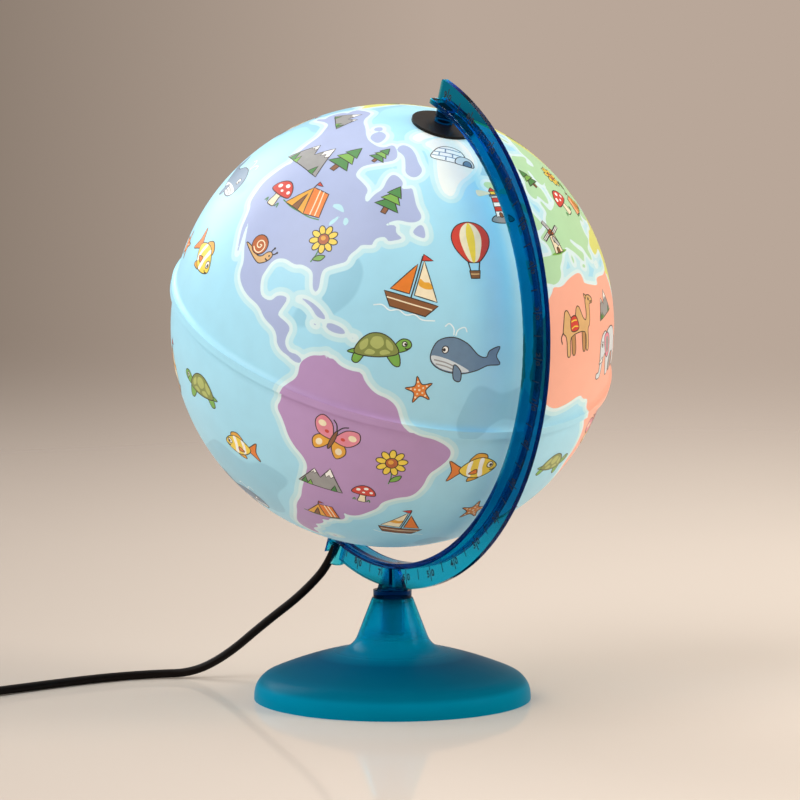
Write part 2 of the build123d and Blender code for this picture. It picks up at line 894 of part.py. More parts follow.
tail_start = coil @ 1
tail_points = [tail_start + Vector(step) for step in tail_steps]
tail_length = cord("cord_tail", tail_points)
through_switch = (Vector(switch_front) - Vector(switch_back)).length
print("lead in all", round(lead_length + through_switch + link_length + coil.length + tail_length))

save("switch_base", switch_frame * switch_base())
save("switch_cover", switch_frame * switch_cover())
save("switch_rocker", switch_frame * switch_rocker())
screws = [
    switch_frame
    * place
    * Pos(0, 0, switch_pocket)
    * pan_screw(switch_head_radius, switch_head_height, switch_screw_radius, switch_screw_length)
    for place in switch_boss_places()
]
save("switch_screws", Compound(children=screws))
save("switch_contacts", switch_frame * switch_contacts())
save("switch_lever", switch_frame * switch_lever())

tail_end = tail_points[-1]
plug_frame = Location(
    (tail_end.X, tail_end.Y + boot_length - boot_entry, tail_end.Z - plug_height / 2), (0, 0, 90)
)
save("plug_body", plug_frame * plug_body())
save("plug_pins", Compound(children=[plug_frame * place * plug_pin() for place in plug_pin_places()]))
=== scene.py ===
import bpy
import math
import numpy as np
from mathutils import Matrix, Vector
from mathutils.geometry import delaunay_2d_cdt


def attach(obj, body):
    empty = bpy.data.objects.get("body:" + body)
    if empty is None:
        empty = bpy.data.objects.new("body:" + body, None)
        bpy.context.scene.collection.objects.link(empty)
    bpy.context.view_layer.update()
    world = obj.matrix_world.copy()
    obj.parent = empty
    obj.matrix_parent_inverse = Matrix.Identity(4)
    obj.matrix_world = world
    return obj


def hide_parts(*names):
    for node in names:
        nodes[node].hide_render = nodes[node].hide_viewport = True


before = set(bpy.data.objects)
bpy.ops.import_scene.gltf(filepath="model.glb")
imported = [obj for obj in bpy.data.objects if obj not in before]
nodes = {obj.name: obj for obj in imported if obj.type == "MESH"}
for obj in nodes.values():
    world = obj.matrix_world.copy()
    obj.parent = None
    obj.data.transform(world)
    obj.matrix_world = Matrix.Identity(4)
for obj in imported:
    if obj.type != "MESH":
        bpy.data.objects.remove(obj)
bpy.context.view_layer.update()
mm = 0.001
print("frame loaded with", len(nodes), "nodes")


def linear(hexColour):
    channels = [int(hexColour[i:i + 2], 16) / 255 for i in (1, 3, 5)]
    return tuple(c / 12.92 if c <= 0.04045 else ((c + 0.055) / 1.055) ** 2.4 for c in channels) + (1.0,)


def perMetre(sizeMm):  # texture scale whose features are about this many millimetres
    return 1000 / sizeMm


def addNode(tree, kind, sockets={}, **settings):
    node = tree.nodes.new(kind)
    for name, value in settings.items():
        setattr(node, name, value)
    for name, value in sockets.items():
        if isinstance(value, bpy.types.NodeSocket):
            tree.links.new(value, node.inputs[name])
        else:
            node.inputs[name].default_value = value
    return node


def newMaterial(name, sockets):
    material = bpy.data.materials.new(name)
    material.use_nodes = True
    tree = material.node_tree
    tree.nodes.clear()
    shader = addNode(tree, "ShaderNodeBsdfPrincipled", sockets)
    addNode(tree, "ShaderNodeOutputMaterial", {"Surface": shader.outputs["BSDF"]})
    return material, tree, shader


def newObject(name, mesh, material=None):
    piece = bpy.data.objects.new(name, mesh)
    bpy.context.scene.collection.objects.link(piece)
    if material:
        mesh.materials.append(material)
    return piece


def meshFrom(name, points, faces):
    mesh = bpy.data.meshes.new(name)
    mesh.from_pydata([tuple(p) for p in points], [], [tuple(f) for f in faces])
    mesh.update()
    return mesh


grainLook = {"cloudGrains": 12, "shiniest": 0.8, "dullest": 1.2, "bumpStrength": 0.4}


def grained(name, dark, light, grainMm, bumpDepth, sockets):  # two tones mixed over a real grain size
    material, tree, shader = newMaterial(name, sockets)
    place = addNode(tree, "ShaderNodeTexCoord").outputs["Object"]
    cloud = addNode(tree, "ShaderNodeTexNoise", {
        "Vector": place, "Scale": perMetre(grainMm * grainLook["cloudGrains"]), "Detail": 3.0}).outputs["Fac"]
    tone = addNode(tree, "ShaderNodeMix", {0: cloud, 6: linear(dark), 7: linear(light)}, data_type="RGBA")
    tree.links.new(tone.outputs[2], shader.inputs["Base Color"])
    level = sockets["Roughness"]
    dull = addNode(tree, "ShaderNodeMapRange", {
        "Value": cloud, "To Min": level * grainLook["shiniest"], "To Max": level * grainLook["dullest"]})
    tree.links.new(dull.outputs["Result"], shader.inputs["Roughness"])
    grain = addNode(tree, "ShaderNodeTexNoise", {"Vector": place, "Scale": perMetre(grainMm), "Detail": 2.0})
    bump = addNode(tree, "ShaderNodeBump", {
        "Height": grain.outputs["Fac"], "Strength": grainLook["bumpStrength"], "Distance": bumpDepth * mm})
    tree.links.new(bump.outputs["Normal"], shader.inputs["Normal"])
    return material


# the ball's own frame: X to the arm at the equator, Z to the north pole
globe = {"radius": 125.0, "wall": 1.5, "height": 212.3, "tilt": 23.5, "armMeridian": -20.0}
tilt = math.radians(globe["tilt"])
globeTurn = np.array([[math.cos(tilt), 0, math.sin(tilt)], [0, 1, 0], [-math.sin(tilt), 0, math.cos(tilt)]])


def fromGlobe(points):  # millimetres about the ball's middle, to metres in the frame
    placed = np.asarray(points, float) @ globeTurn.T
    placed[:, 2] += globe["height"]
    return placed * mm


# camera, as the photograph was taken
camera = {"place": (1.8357, -1.2342, 0.3863), "turn": (84.42, 0.0, 55.975), "lens": 176.8, "sensor": 36.0}
lensData = bpy.data.cameras.new("camera")
lensData.lens, lensData.sensor_width = camera["lens"], camera["sensor"]
viewer = bpy.data.objects.new("camera", lensData)
viewer.location = camera["place"]
viewer.rotation_euler = [math.radians(a) for a in camera["turn"]]
bpy.context.scene.collection.objects.link(viewer)
bpy.context.scene.camera = viewer
bpy.context.scene.view_settings.view_transform = "Standard"
print("camera placed")

# extruded pvc: brown black, satin, faintly uneven
leadSheath = grained("black pvc sheath", "#0a0504", "#110a08", 0.8, 0.05, {
    "Roughness": 0.42, "Specular IOR Level": 0.1})

# lead: the same points as in the part's source, in millimetres
lead = {
    "diameter": 5.0,
    "hang": [
        (-49.446, 0, 98.584), (-60.611, 0, 72.907), (-73.5, -13, 52), (-90, -29, 34), (-106, -45.5, 14),
        (-119.5, -60.5, 3.2), (-131.5, -79, 2.6), (-136.5, -107, 2.6), (-135.5, -139, 2.6),
        (-132.5, -168, 2.6), (-129.2, -192, 2.9), (-127.2, -207.5, 5.7), (-127, -221.5, 6),
    ],
    "link": [(-127, -274.5, 6), (-127, -285, 6), (-127, -297.5, 3.9), (-127, -307, 3.9)],
    "tail": [(0, 10, 0), (0, 22, -2.55), (0, 32, -2.55)],
    "coilRadius": 40.1, "coilPitch": 5.5, "halfTurns": 7, "turnPoints": 8,
}


def coilPoints():  # half turns in two layers, the last one of the first layer climbs
    halfTurns, pitch, radius = lead["halfTurns"], lead["coilPitch"], lead["coilRadius"]
    start = Vector(lead["link"][-1])
    middle = start + Vector((-radius, -lead["diameter"], 0))
    stops = []
    for step in range(2 * halfTurns + 2):
        inward = step if step <= halfTurns + 1 else 2 * halfTurns + 1 - step
        side = 1 if step % 2 == 0 else -1
        rise = pitch if step > halfTurns else 0
        stops.append(middle + Vector((side * (radius - inward * pitch / 2), 0, rise)))
    bulge = 1 / math.cos(math.pi / (2 * lead["turnPoints"]))  # control points stand a little outside the turn
    points = []
    for step, (a, b) in enumerate(zip(stops, stops[1:])):
        heading = Vector((0, -1 if step % 2 == 0 else 1, 0))
        half = (b - a) / 2
        for i in range(lead["turnPoints"]):
            angle = math.pi * (i + 0.5) / lead["turnPoints"]
            across = half * math.cos(angle) * bulge
            ahead = heading * half.length * math.sin(angle) * bulge
            points.append((a + b) / 2 - across + ahead)
    return points, stops[-1] + Vector((0, lead["diameter"], 0))


def newCord(name, points):
    curve = bpy.data.curves.new(name, "CURVE")
    curve.dimensions = "3D"
    curve.bevel_depth = lead["diameter"] / 2 * mm
    curve.bevel_resolution = 6
    curve.resolution_u = 8
    curve.use_fill_caps = True
    curve.materials.append(leadSheath)
    spline = curve.splines.new("NURBS")
    spline.points.add(len(points) - 1)
    for control, p in zip(spline.points, points):
        control.co = (p[0] * mm, p[1] * mm, p[2] * mm, 1)
    spline.order_u = 3
    spline.use_endpoint_u = True
    piece = bpy.data.objects.new(name, curve)
    bpy.context.scene.collection.objects.link(piece)
    return piece


turns, coilEnd = coilPoints()
hangingLead = newCord("hanging_lead", lead["hang"])
tail = [coilEnd] + [coilEnd + Vector(step) for step in lead["tail"]]
coiledLead = newCord("coiled_lead", [*lead["link"], *turns, *tail])
print("lead laid")
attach(hangingLead, "stand")
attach(coiledLead, "stand")
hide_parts("cord_lead")
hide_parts("cord_link", "cord_coil", "cord_tail")

# map: coasts given in degrees east and north, the first loop of a land is its mainland
mapShell = {
    "rows": 150, "columns": 440, "innerRows": 20, "northHole": 5.61, "southHole": 16.11, "lap": 1.75,
    "beltRadius": 127.3, "beltTop": 1.0, "beltFoot": -3.2, "beltBore": 125.1, "lipGap": 0.05,
    "blendStart": 4.5, "blendSteps": 6, "kneeOut": 0.05, "kneeRise": 0.75, "crease": 40.0,
    "reach": 12.0, "searchMargin": 6.0, "polarLine": -80.0, "batch": 3000,
}
lands = {
    "northAmerica": [
        "-168 66, -162 70, -156 71.3, -141 69.7, -128 70, -115 68.5, -108 68, -96 68.5, -94 72, -84 69.5, "
        "-81.5 67, -87 64.5, -94 61, -94 58.8, -92.5 57, -88 56.5, -82.3 55.2, -82 52.8, -79.5 51.3, "
        "-79 54.6, -76.8 57, -78 60, -77.5 62.4, -73.5 62.3, -69.5 60.9, -69.5 58.8, -65.5 59.8, "
        "-64.5 60.3, -62 57.8, -60 55.3, -56.5 52.9, -57 51.4, -60 50.2, -66 50.1, -70 47, -65 48.8, "
        "-64.5 46.4, -61 45.6, -63.5 44.6, -66 43.6, -67 44.8, -70 43.7, -70.6 42, -70 41.6, -74 40.6, "
        "-74.2 39.5, -76 37, -75.7 35.3, -78 33.9, -81 31.9, -81.4 30.3, -80 26.8, -80.5 25.2, "
        "-81.8 26.1, -82.8 28, -84 30, -88 30.3, -90 29.2, -94 29.6, -97.2 27.8, -97.7 24, -97.8 22.3, "
        "-96 19.2, -94.5 18.2, -91.5 18.5, -90.5 20.8, -87.2 21.5, -87.6 19, -88.4 16.2, -86 15.9, "
        "-83.2 15, -83.6 12.5, -83.4 10.6, -81.5 9, -79.5 9.5, -77.4 8.6, -78 7.4, -80 7.5, -81.5 8.2, "
        "-83.6 8.5, -85.6 9.9, -86 11.3, -87.6 13, -91.5 13.9, -94.3 16.1, -99.5 16.6, -103.5 18.3, "
        "-105.5 20.4, -106 23, -109.3 26, -112.5 29.5, -114.7 31.6, -113 28.6, -110.3 24.2, -110 23, "
        "-112.2 25.8, -115 28.8, -116.5 31.5, -118.5 34, -120.6 34.6, -122.5 37.7, -124 40.4, -124.2 43, "
        "-124.3 47.8, -123 49, -127.5 51, -130.5 54.5, -134 58.3, -140 59.9, -146 60.8, -151.5 59.3, "
        "-154 58.3, -158 56.3, -162.5 55, -158.5 57.8, -157.5 58.8, -162 58.8, -164.8 61, -164.5 63, "
        "-161 64.2, -166 64.6, -168 65.8",
        "-80 73.5, -72 71.5, -67.5 69, -62 66.7, -65 63.3, -71.5 64, -73.5 66.3, -78.5 69.7, -88 70.3, "
        "-89 73.2",
        "-117 73, -106 73, -101.5 69, -112 68.7, -117 70.5",
        "-124 74, -116 73.2, -120 71.2, -125.5 72",
        "-59.2 47.8, -55.8 51.3, -53 47, -56 47",
        "-84.8 22, -82.5 23.1, -78 22.4, -74.3 20.2, -77.5 19.9, -79.5 21.5, -82.5 22.4",
        "-74.2 19.9, -70 19.8, -68.4 18.5, -71.5 17.8, -74.3 18.3",
        "-78.2 18.4, -76.4 18.1, -77.3 17.8",
        "-67.1 18.4, -65.7 18.3, -66.5 17.9",
    ],
    "southAmerica": [
        "-77.4 8.6, -75.5 10.7, -73 11.4, -71.5 12.4, -71.7 10.9, -70 12, -68 10.6, -64.5 10.2, -62 10.7, "
        "-60.8 8.6, -57.5 6.2, -54 5.8, -51.5 4.2, -50 1, -48.5 -0.8, -44.5 -2.6, -40 -2.9, -35.3 -5.2, "
        "-34.8 -8, -37.2 -11.5, -39 -13.5, -39.2 -18, -41 -22, -44.7 -23.1, -48.5 -26, -48.7 -28.6, "
        "-51 -31.3, -53.5 -34, -56.5 -34.9, -58.3 -34, -57 -36.4, -58 -38.3, -62 -39, -62.2 -40.8, "
        "-65 -41, -63.7 -42.6, -65.5 -45, -67.5 -46.2, -65.9 -47.8, -68.5 -50.2, -68.4 -52.4, -66 -54.8, "
        "-69.5 -55.3, -73.5 -53, -75.5 -50, -74.5 -45, -73.7 -41.8, -73.5 -37.2, -71.5 -32.5, -71.4 -29, "
        "-70.5 -23.5, -70.3 -18.4, -76 -14, -78.8 -8.5, -81.2 -6, -80.2 -3.4, -80.8 -1, -79.9 1, "
        "-77.4 3.9, -77.8 7.2",
        "-61 -51.5, -58 -51.3, -59 -52.3",
    ],
    "asia": [
        "26.3 40, 27 37, 30.5 36.6, 36 36.5, 35.5 33.5, 34.3 31.2, 32 31, 32.3 29.9, 34.8 29.3, 35 28, "
        "37.5 24.3, 39.2 21, 42.7 16.5, 43.4 12.8, 45 12.9, 52 15.7, 55.3 17.5, 59.8 22.4, 56.4 24.5, "
        "56.3 26.2, 54 24.1, 51.5 24.4, 51.3 26, 50.2 25.6, 48.5 28.4, 48.5 30, 51 28.8, 54.5 26.6, "
        "57.3 26.8, 58.5 25.5, 62 25.1, 66.5 25.2, 68 23.6, 70 20.9, 72.7 21.5, 72.8 19, 74.5 14.5, "
        "76.3 10, 77.5 8.1, 79.9 10.3, 80.2 13.5, 82.3 16.6, 87 21.2, 91.5 22.6, 94.2 18.5, 94.4 16, "
        "97.5 16.8, 98.5 12, 98.3 8, 100.4 6.4, 101.4 2.8, 103.5 1.4, 104.1 1.4, 103.4 4.5, 100.6 7.2, "
        "99.3 10, 100 13.3, 102 12.6, 105 8.7, 107 10.5, 109.3 12.5, 108.8 15.3, 106.5 17.8, 106.7 20.3, "
        "108.5 21.7, 110.3 20.4, 113.5 22.2, 117 23.5, 120 26.5, 121.8 29.5, 121.8 31.5, 119.5 35, "
        "122.4 37.2, 118.7 38.3, 121.5 40.7, 121.5 38.9, 125 39.8, 126.2 37.6, 126.5 34.6, 129.3 35.4, "
        "127.6 39.4, 129.8 41, 131.5 43, 135.5 44.5, 140.3 48.3, 140.6 53.5, 137 54.3, 142 59.2, "
        "150 59.5, 155 59.3, 160 61.8, 164 62.5, 162.5 60.6, 156.8 57.7, 156.7 51.2, 160 53.2, 163 56, "
        "170 60, 179 62.5, 177.5 64.7, 190 66, 180.5 68.9, 170 69.9, 160 69.7, 150 71.3, 140 72.6, "
        "129 71.2, 123 73, 113 73.7, 104 77.6, 98 76.2, 87 75, 80.5 73, 75 72.8, 73 67.8, 68.5 68.5, "
        "66 68.5, 58 66, 55 60, 56 52, 50 48.5, 47 46, 45 43, 41.5 41.5, 38 40.9, 35 42, 31.5 41.2, "
        "29 41.1",
        "130 31.3, 131.8 33.6, 135.5 33.5, 140.7 35.6, 141.8 39.5, 141.2 41.3, 145.3 43.3, 141.8 45.3, "
        "140.3 42.5, 139.8 39, 136.8 37, 133 35.5, 130.5 33.8, 129.7 32.8",
        "142 46.5, 143.5 49.5, 142.8 54, 142 51",
        "121 25.2, 121.5 23.5, 120.7 22.2, 120.2 23.3",
        "80 9.6, 81.8 7.5, 80.5 6, 79.8 7.5",
        "120.5 18.4, 122.2 18.2, 122 14.5, 124 12.7, 123 13.2, 120.3 14.5",
        "123.5 8.6, 126.3 9, 126 6.2, 122.2 7",
        "95.3 5.6, 98 4.3, 103.8 -1, 106 -3.2, 105.6 -5.8, 102.3 -4, 98.8 1.7",
        "105.3 -6.7, 110.5 -6.5, 114.5 -7.8, 114.3 -8.6, 108 -7.8",
        "109 1.6, 111.5 2.7, 115.5 5.6, 117.2 7, 119.2 5, 117.8 1, 116.2 -3.8, 114.5 -4, 110.2 -2.9",
        "119.5 -5.5, 119.3 -0.5, 121 1.2, 125 1.6, 121.5 0.4, 123.3 -0.9, 121.7 -2, 122.5 -5",
    ],
    "europe": [
        "-9 43, -9.2 38.7, -8.8 37, -6.3 36.7, -5.4 36.1, -2 36.8, 0 38.6, 0 40, 3.2 42, 4.5 43.4, "
        "8.5 44.3, 10.3 43, 12.5 41.6, 15.7 38.2, 16.5 39, 18.3 40.2, 15.8 41.8, 13.6 43.7, 12.4 45.2, "
        "14 45.3, 16 43.5, 19.4 41.7, 20 39.5, 22 36.7, 23.5 38, 23 40.3, 26.2 40.8, 28.8 41.2, 28 43.2, "
        "30.5 46, 33.5 46, 33.3 44.7, 35.5 45.2, 38.5 47.2, 37.5 45.2, 41.5 42.2, 48 42, 47.5 45, 50 47, "
        "55 50.5, 60 52, 60 60, 66 68.5, 60 69, 54 68.5, 46 68, 44 66.2, 40.5 64.6, 37 64, 34.8 64.4, "
        "33 66.5, 41 66.5, 41 67.5, 32 69.8, 28 71, 20 70, 14 67.3, 11 64, 5.2 61.5, 5.5 59, 8 58.1, "
        "10.6 59.3, 12.3 56.5, 14.3 55.5, 16.5 57, 18.8 60, 17.2 61, 21.5 64.4, 24.5 65.8, 25 64.8, "
        "21.3 62, 22.5 60, 29.5 60, 24 59.2, 22.5 58, 21 56.8, 21 55.2, 18.5 54.7, 14 54, 11 54, "
        "10.5 57.6, 8.2 57, 8.6 54, 5 53, 3.5 51.4, 1.7 50.4, -1.5 49.4, -4.7 48.4, -2 47, -1.2 44.5, "
        "-1.8 43.4, -8 43.7",
        "-5.5 50.1, 1.3 51.2, 0.3 53, -1.7 55.6, -2 57.6, -3.2 58.6, -5.2 58.4, -5.5 56, -3.2 54.9, "
        "-4.5 53.2, -5 51.8, -3 51.4",
        "-6.2 52.2, -10 51.6, -9.9 53.9, -8 55.2, -5.8 54.6",
        "-24 65.4, -20 66.2, -14.8 65, -18.5 63.4, -22.5 63.9",
        "12.5 38, 15.5 38.2, 15.1 36.7",
        "8.3 41, 9.4 42.8, 9.6 40, 8.6 39",
        "23.6 35.4, 26.2 35.2, 24.8 34.9",
        "52 71.3, 57 75, 68 77, 58 72.5, 55 70.7",
    ],
    "africa": [
        "-5.9 35.8, -2 35.1, 3 36.8, 10 37.2, 11 35, 10.3 34, 15.3 32.3, 20 30.8, 20 32.7, 23.2 32.4, "
        "29 30.9, 32.3 31.2, 32.6 29.9, 35.5 24, 37.3 20.8, 38.6 18, 43.3 12.4, 44.5 10.5, 51.2 11.9, "
        "48 4.5, 43.5 0, 40.2 -2.7, 39.3 -6.5, 40.6 -11, 40.6 -15, 35.5 -20, 35.4 -23.8, 32.8 -26, "
        "31 -29.8, 27 -33.6, 20 -34.8, 18.3 -33.5, 17.2 -29.5, 14.5 -22.5, 11.8 -17, 13.6 -12.3, 12.8 -6, "
        "8.8 -0.8, 9.6 3.6, 6 4.3, 4.3 6.3, -2 4.8, -7.6 4.4, -13 8.8, -16.8 13, -17.4 14.7, -16.2 19, "
        "-17 21, -14.5 26.2, -10 29.5, -9.5 32.5, -6.5 34.6",
        "49.3 -12.2, 50.3 -16, 47 -25, 44 -24.8, 44.3 -20, 46.5 -15.8",
    ],
    "oceania": [
        "131 -0.8, 134.2 -0.8, 135 -3.3, 138 -1.7, 144.5 -3.9, 147.7 -6, 150.5 -10.6, 147 -9.5, "
        "143.2 -9.1, 138 -8.2, 138 -5.8, 133 -4, 132 -2.6",
        "114 -22, 113.5 -26, 115.7 -32, 115.2 -34.3, 118 -35, 123.5 -34, 128.5 -31.8, 131.5 -31.5, "
        "135.5 -34.8, 137.8 -33, 138.3 -35.6, 140.5 -38, 144.5 -38.3, 146.4 -39, 150 -37.4, 152.8 -32, "
        "153.5 -28, 152.8 -25, 149.3 -21, 146 -18.8, 145.3 -15, 142.5 -10.8, 141.6 -13.5, 140.8 -17.5, "
        "137.5 -16, 135.5 -15, 136.8 -12.3, 132.6 -11.4, 130 -13.5, 128.8 -15, 125.5 -14, 122.3 -17.5, "
        "119 -20",
        "144.8 -41, 148.3 -41, 147.5 -43.5, 146 -43.4",
        "172.8 -34.5, 175.5 -36.8, 178.4 -37.8, 176 -41.3, 174 -39.3, 174.8 -37.5",
        "172.7 -40.6, 174.2 -41.7, 171 -44.5, 170.5 -46, 167.5 -46.3, 168.5 -44, 171.3 -42",
    ],
    "ice": [
        "-73 78.2, -60 82, -30 83.4, -18 80, -20 74, -25 70.5, -32 68, -40 65.3, -43.5 60, -48.5 61, "
        "-52 65, -54 69, -55.5 72.5, -62 75.9, -70 76.2",
        "-90 77, -78 76.5, -76 79.3, -62 82.5, -78 83.1, -92 81",
        "12 79.5, 24 80, 20 77.5, 15 77",
        "-183 -78.3, -165 -78, -150 -76.5, -135 -74.5, -115 -73.8, -100 -72.5, -85 -73, -75 -72, -67 -68, "
        "-62 -64.5, -57 -63.3, -62 -69, -62 -74, -50 -78, -35 -77.5, -25 -74.5, -12 -71, 5 -70, 20 -70, "
        "35 -69, 50 -66.5, 65 -67.8, 72 -69.5, 80 -67.8, 95 -66.3, 115 -66.6, 135 -66, 150 -68.4, "
        "165 -71, 170 -72, 165 -77.5, 183 -78.25, 183 -95, -183 -95",
    ],
    "lakes": [
        "47.5 44.8, 51 46.9, 53 45.2, 50.5 44.5, 53 42, 54 39, 53.8 37, 50 37.4, 49.4 40.2, 47.7 42.8",
        "-92 46.7, -88.5 48.6, -84.6 46.6, -87 46.5",
        "-87.8 43, -86 45.5, -85.2 45.6, -86.3 42.3, -87.4 41.8",
        "-84 45.9, -81.5 45.3, -81.8 43.4, -83.4 44",
        "32 0.3, 34 0.3, 34 -2.4, 32 -2.4",
    ],
}


def readLoop(text):
    return np.array([[float(n) for n in pair.split()] for pair in text.split(",")])


def softened(loop, rounds):  # cuts the corners, as a simplified map's coasts are
    for _ in range(rounds):
        ahead = np.roll(loop, -1, axis=0)
        loop = np.stack([0.75 * loop + 0.25 * ahead, 0.25 * loop + 0.75 * ahead], axis=1).reshape(-1, 2)
    return loop


def onBall(lonLat, radius):  # degrees to millimetres in the ball's own frame
    turn = np.radians(lonLat[:, 0] - globe["armMeridian"])
    rise = np.radians(lonLat[:, 1])
    return radius * np.stack([np.cos(rise) * np.cos(turn), np.cos(rise) * np.sin(turn), np.sin(rise)], axis=1)


def insideLoop(points, loop):
    x, y = points[:, 0][:, None], points[:, 1][:, None]
    x1, y1 = loop[:, 0], loop[:, 1]
    x2, y2 = np.roll(x1, -1), np.roll(y1, -1)
    slope = (x2 - x1) / np.where(y2 == y1, 1e-9, y2 - y1)
    crossed = ((y1 > y) != (y2 > y)) & (x < x1 + (y - y1) * slope)
    return crossed.sum(axis=1) % 2 == 1


def coastDistance(lonLat, points, text, best):  # millimetres to the coast, positive on land
    reach, radius = mapShell["reach"], globe["radius"]
    loop = softened(readLoop(text), 2)
    start = onBall(loop, radius)
    centre = start.mean(axis=0)
    centre /= np.linalg.norm(centre)
    spread = np.degrees(np.arccos(np.clip(start @ centre / radius, -1, 1))).max() + mapShell["searchMargin"]
    near = np.nonzero(points @ centre > radius * math.cos(math.radians(min(spread, 180))))[0]
    along = np.roll(start, -1, axis=0) - start
    square = (along ** 2).sum(axis=1)
    startAlong = (start * along).sum(axis=1)
    offPole = loop[:, 1] > mapShell["polarLine"]
    wet = offPole & np.roll(offPole, -1)  # not the closing line round the pole
    middleLon = (loop[:, 0].min() + loop[:, 0].max()) / 2
    for part in np.array_split(near, max(1, len(near) // mapShell["batch"])):
        p = points[part]
        offset = p @ along.T - startAlong
        t = np.clip(offset / square, 0, 1)
        apart = radius ** 2 * 2 - 2 * p @ start.T - 2 * t * offset + t * t * square
        distance = np.sqrt(np.maximum(apart[:, wet], 0).min(axis=1))
        lon = middleLon + (lonLat[part, 0] - middleLon + 180) % 360 - 180
        inside = insideLoop(np.stack([lon, lonLat[part, 1]], axis=1), loop)
        best[part] = np.maximum(best[part], np.clip(np.where(inside, distance, -distance), -reach, reach))


def halfProfile(north):  # radius and height along the axis, outside first, from north to south
    radius, inner = globe["radius"], globe["radius"] - globe["wall"]
    rows, innerRows, steps = mapShell["rows"], mapShell["innerRows"], mapShell["blendSteps"]
    lap = mapShell["lap"]

    def arc(r, fromLat, toLat, count):
        return [(r * math.cos(a), r * math.sin(a)) for a in np.linspace(fromLat, toLat, count)]

    if north:
        hole, foot = mapShell["northHole"], math.asin(mapShell["blendStart"] / radius)
        outside = arc(radius, math.acos(hole / radius), foot, rows)
        start = outside[-1]
        end = mapShell["beltRadius"], mapShell["beltTop"]
        kneeRadius = start[0] + (start[1] - end[1]) * math.tan(foot) + mapShell["kneeOut"]
        knee = kneeRadius, end[1] + mapShell["kneeRise"]
        blend = []
        for t in np.linspace(0, 1, steps + 1)[1:]:  # runs off the ball's own slope and turns out to the belt
            blend.append([(1 - t) ** 2 * a + 2 * t * (1 - t) * k + t * t * b
                          for a, k, b in zip(start, knee, end)])
        bore, beltFoot, lip = mapShell["beltBore"], mapShell["beltFoot"], lap + mapShell["lipGap"]
        belt = [(end[0], beltFoot), (bore, beltFoot), (bore, lip)]
        inside = arc(inner, math.asin(lip / inner), math.acos(hole / inner), innerRows)
        return outside + blend + belt + inside, rows + steps + 1
    hole = mapShell["southHole"]
    outside = [(radius, lap)] + arc(radius, 0, -math.acos(hole / radius), rows)
    inside = arc(inner, -math.acos(hole / inner), 0, innerRows) + [(inner, lap)]
    return outside + inside, rows


def addHalf(name, north, outerMaterial, innerMaterial):
    profile, printedRows = halfProfile(north)
    columns, count = mapShell["columns"], len(profile)
    turn = np.tile(2 * math.pi * np.arange(columns) / columns, count)
    r, s = np.repeat(np.array(profile), columns, axis=0).T
    points = np.stack([r * np.cos(turn), r * np.sin(turn), s], axis=1)
    i, j = np.meshgrid(np.arange(count), np.arange(columns), indexing="ij")
    here, below, beside = i * columns, (i + 1) % count * columns, (j + 1) % columns
    faces = np.stack([here + j, below + j, below + beside, here + beside], axis=2)
    mesh = meshFrom(name, fromGlobe(points), faces.reshape(-1, 4).tolist())
    lonLat = np.stack([np.degrees(turn) + globe["armMeridian"], np.degrees(np.arctan2(s, r))], axis=1)
    onSurface = onBall(lonLat, globe["radius"])
    printed = np.repeat(np.arange(count) < printedRows + 1, columns)
    coast = np.full(len(lonLat), -mapShell["reach"])
    for land, loops in lands.items():
        best = np.full(printed.sum(), -mapShell["reach"])
        for text in loops:
            coastDistance(lonLat[printed], onSurface[printed], text, best)
        whole = np.full(len(lonLat), -mapShell["reach"])
        whole[printed] = best
        mesh.attributes.new(land, "FLOAT", "POINT").data.foreach_set("value", whole)
        coast = np.minimum(coast, -whole) if land == "lakes" else np.maximum(coast, whole)
    mesh.attributes.new("coast", "FLOAT", "POINT").data.foreach_set("value", coast)
    mesh.materials.append(outerMaterial)
    mesh.materials.append(innerMaterial)
    mesh.polygons.foreach_set("material_index", (i.ravel() >= printedRows).astype(int))
    mesh.shade_smooth()
    mesh.set_sharp_from_angle(angle=math.radians(mapShell["crease"]))
    piece = newObject(name, mesh)
    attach(piece, "globe")
    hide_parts("north_hemisphere" if north else "south_hemisphere")
    return piece


# satin varnish over flat inks, a little light from inside; reaches, blurs and grain sizes in millimetres
varnishAndGlow = {"Roughness": 0.42, "Emission Strength": 0.07}
mapPaint = {
    "sea": "#a6def2", "deepSea": "#97cfe4", "outerShelf": "#c2e8ef", "innerShelf": "#d9eff0",
    "asia": "#dbdd76", "europe": "#b3dcad", "africa": "#f7b198", "oceania": "#f2c48d", "ice": "#f7f5ec",
    "northAmerica": "#a9b6da", "southAmerica": "#b894c2", "lakes": "#b8e3ec",
    "outerReach": 4.6, "innerReach": 2.1, "shelfBlur": 0.25, "coastBlur": 0.12,
    "swell": 70, "deepFrom": 0.55, "deepTo": 0.565, "screen": 14, "screenTones": (0.93, 1.05),
    "peel": 2.5, "peelDepth": 0.2, "peelStrength": 0.03,
}


def layInk(tree, shader, place, colour, paint):  # a faint screen grain over the colour
    screen = addNode(tree, "ShaderNodeTexNoise", {
        "Vector": place, "Scale": perMetre(paint["screen"]), "Detail": 3.0})
    low, high = paint["screenTones"]
    grain = addNode(tree, "ShaderNodeMapRange", {
        "Value": screen.outputs["Fac"], "To Min": low, "To Max": high})
    tint = addNode(tree, "ShaderNodeVectorMath", {
        0: colour, "Scale": grain.outputs["Result"]}, operation="SCALE")
    for socket in ("Base Color", "Emission Color"):
        tree.links.new(tint.outputs["Vector"], shader.inputs[socket])


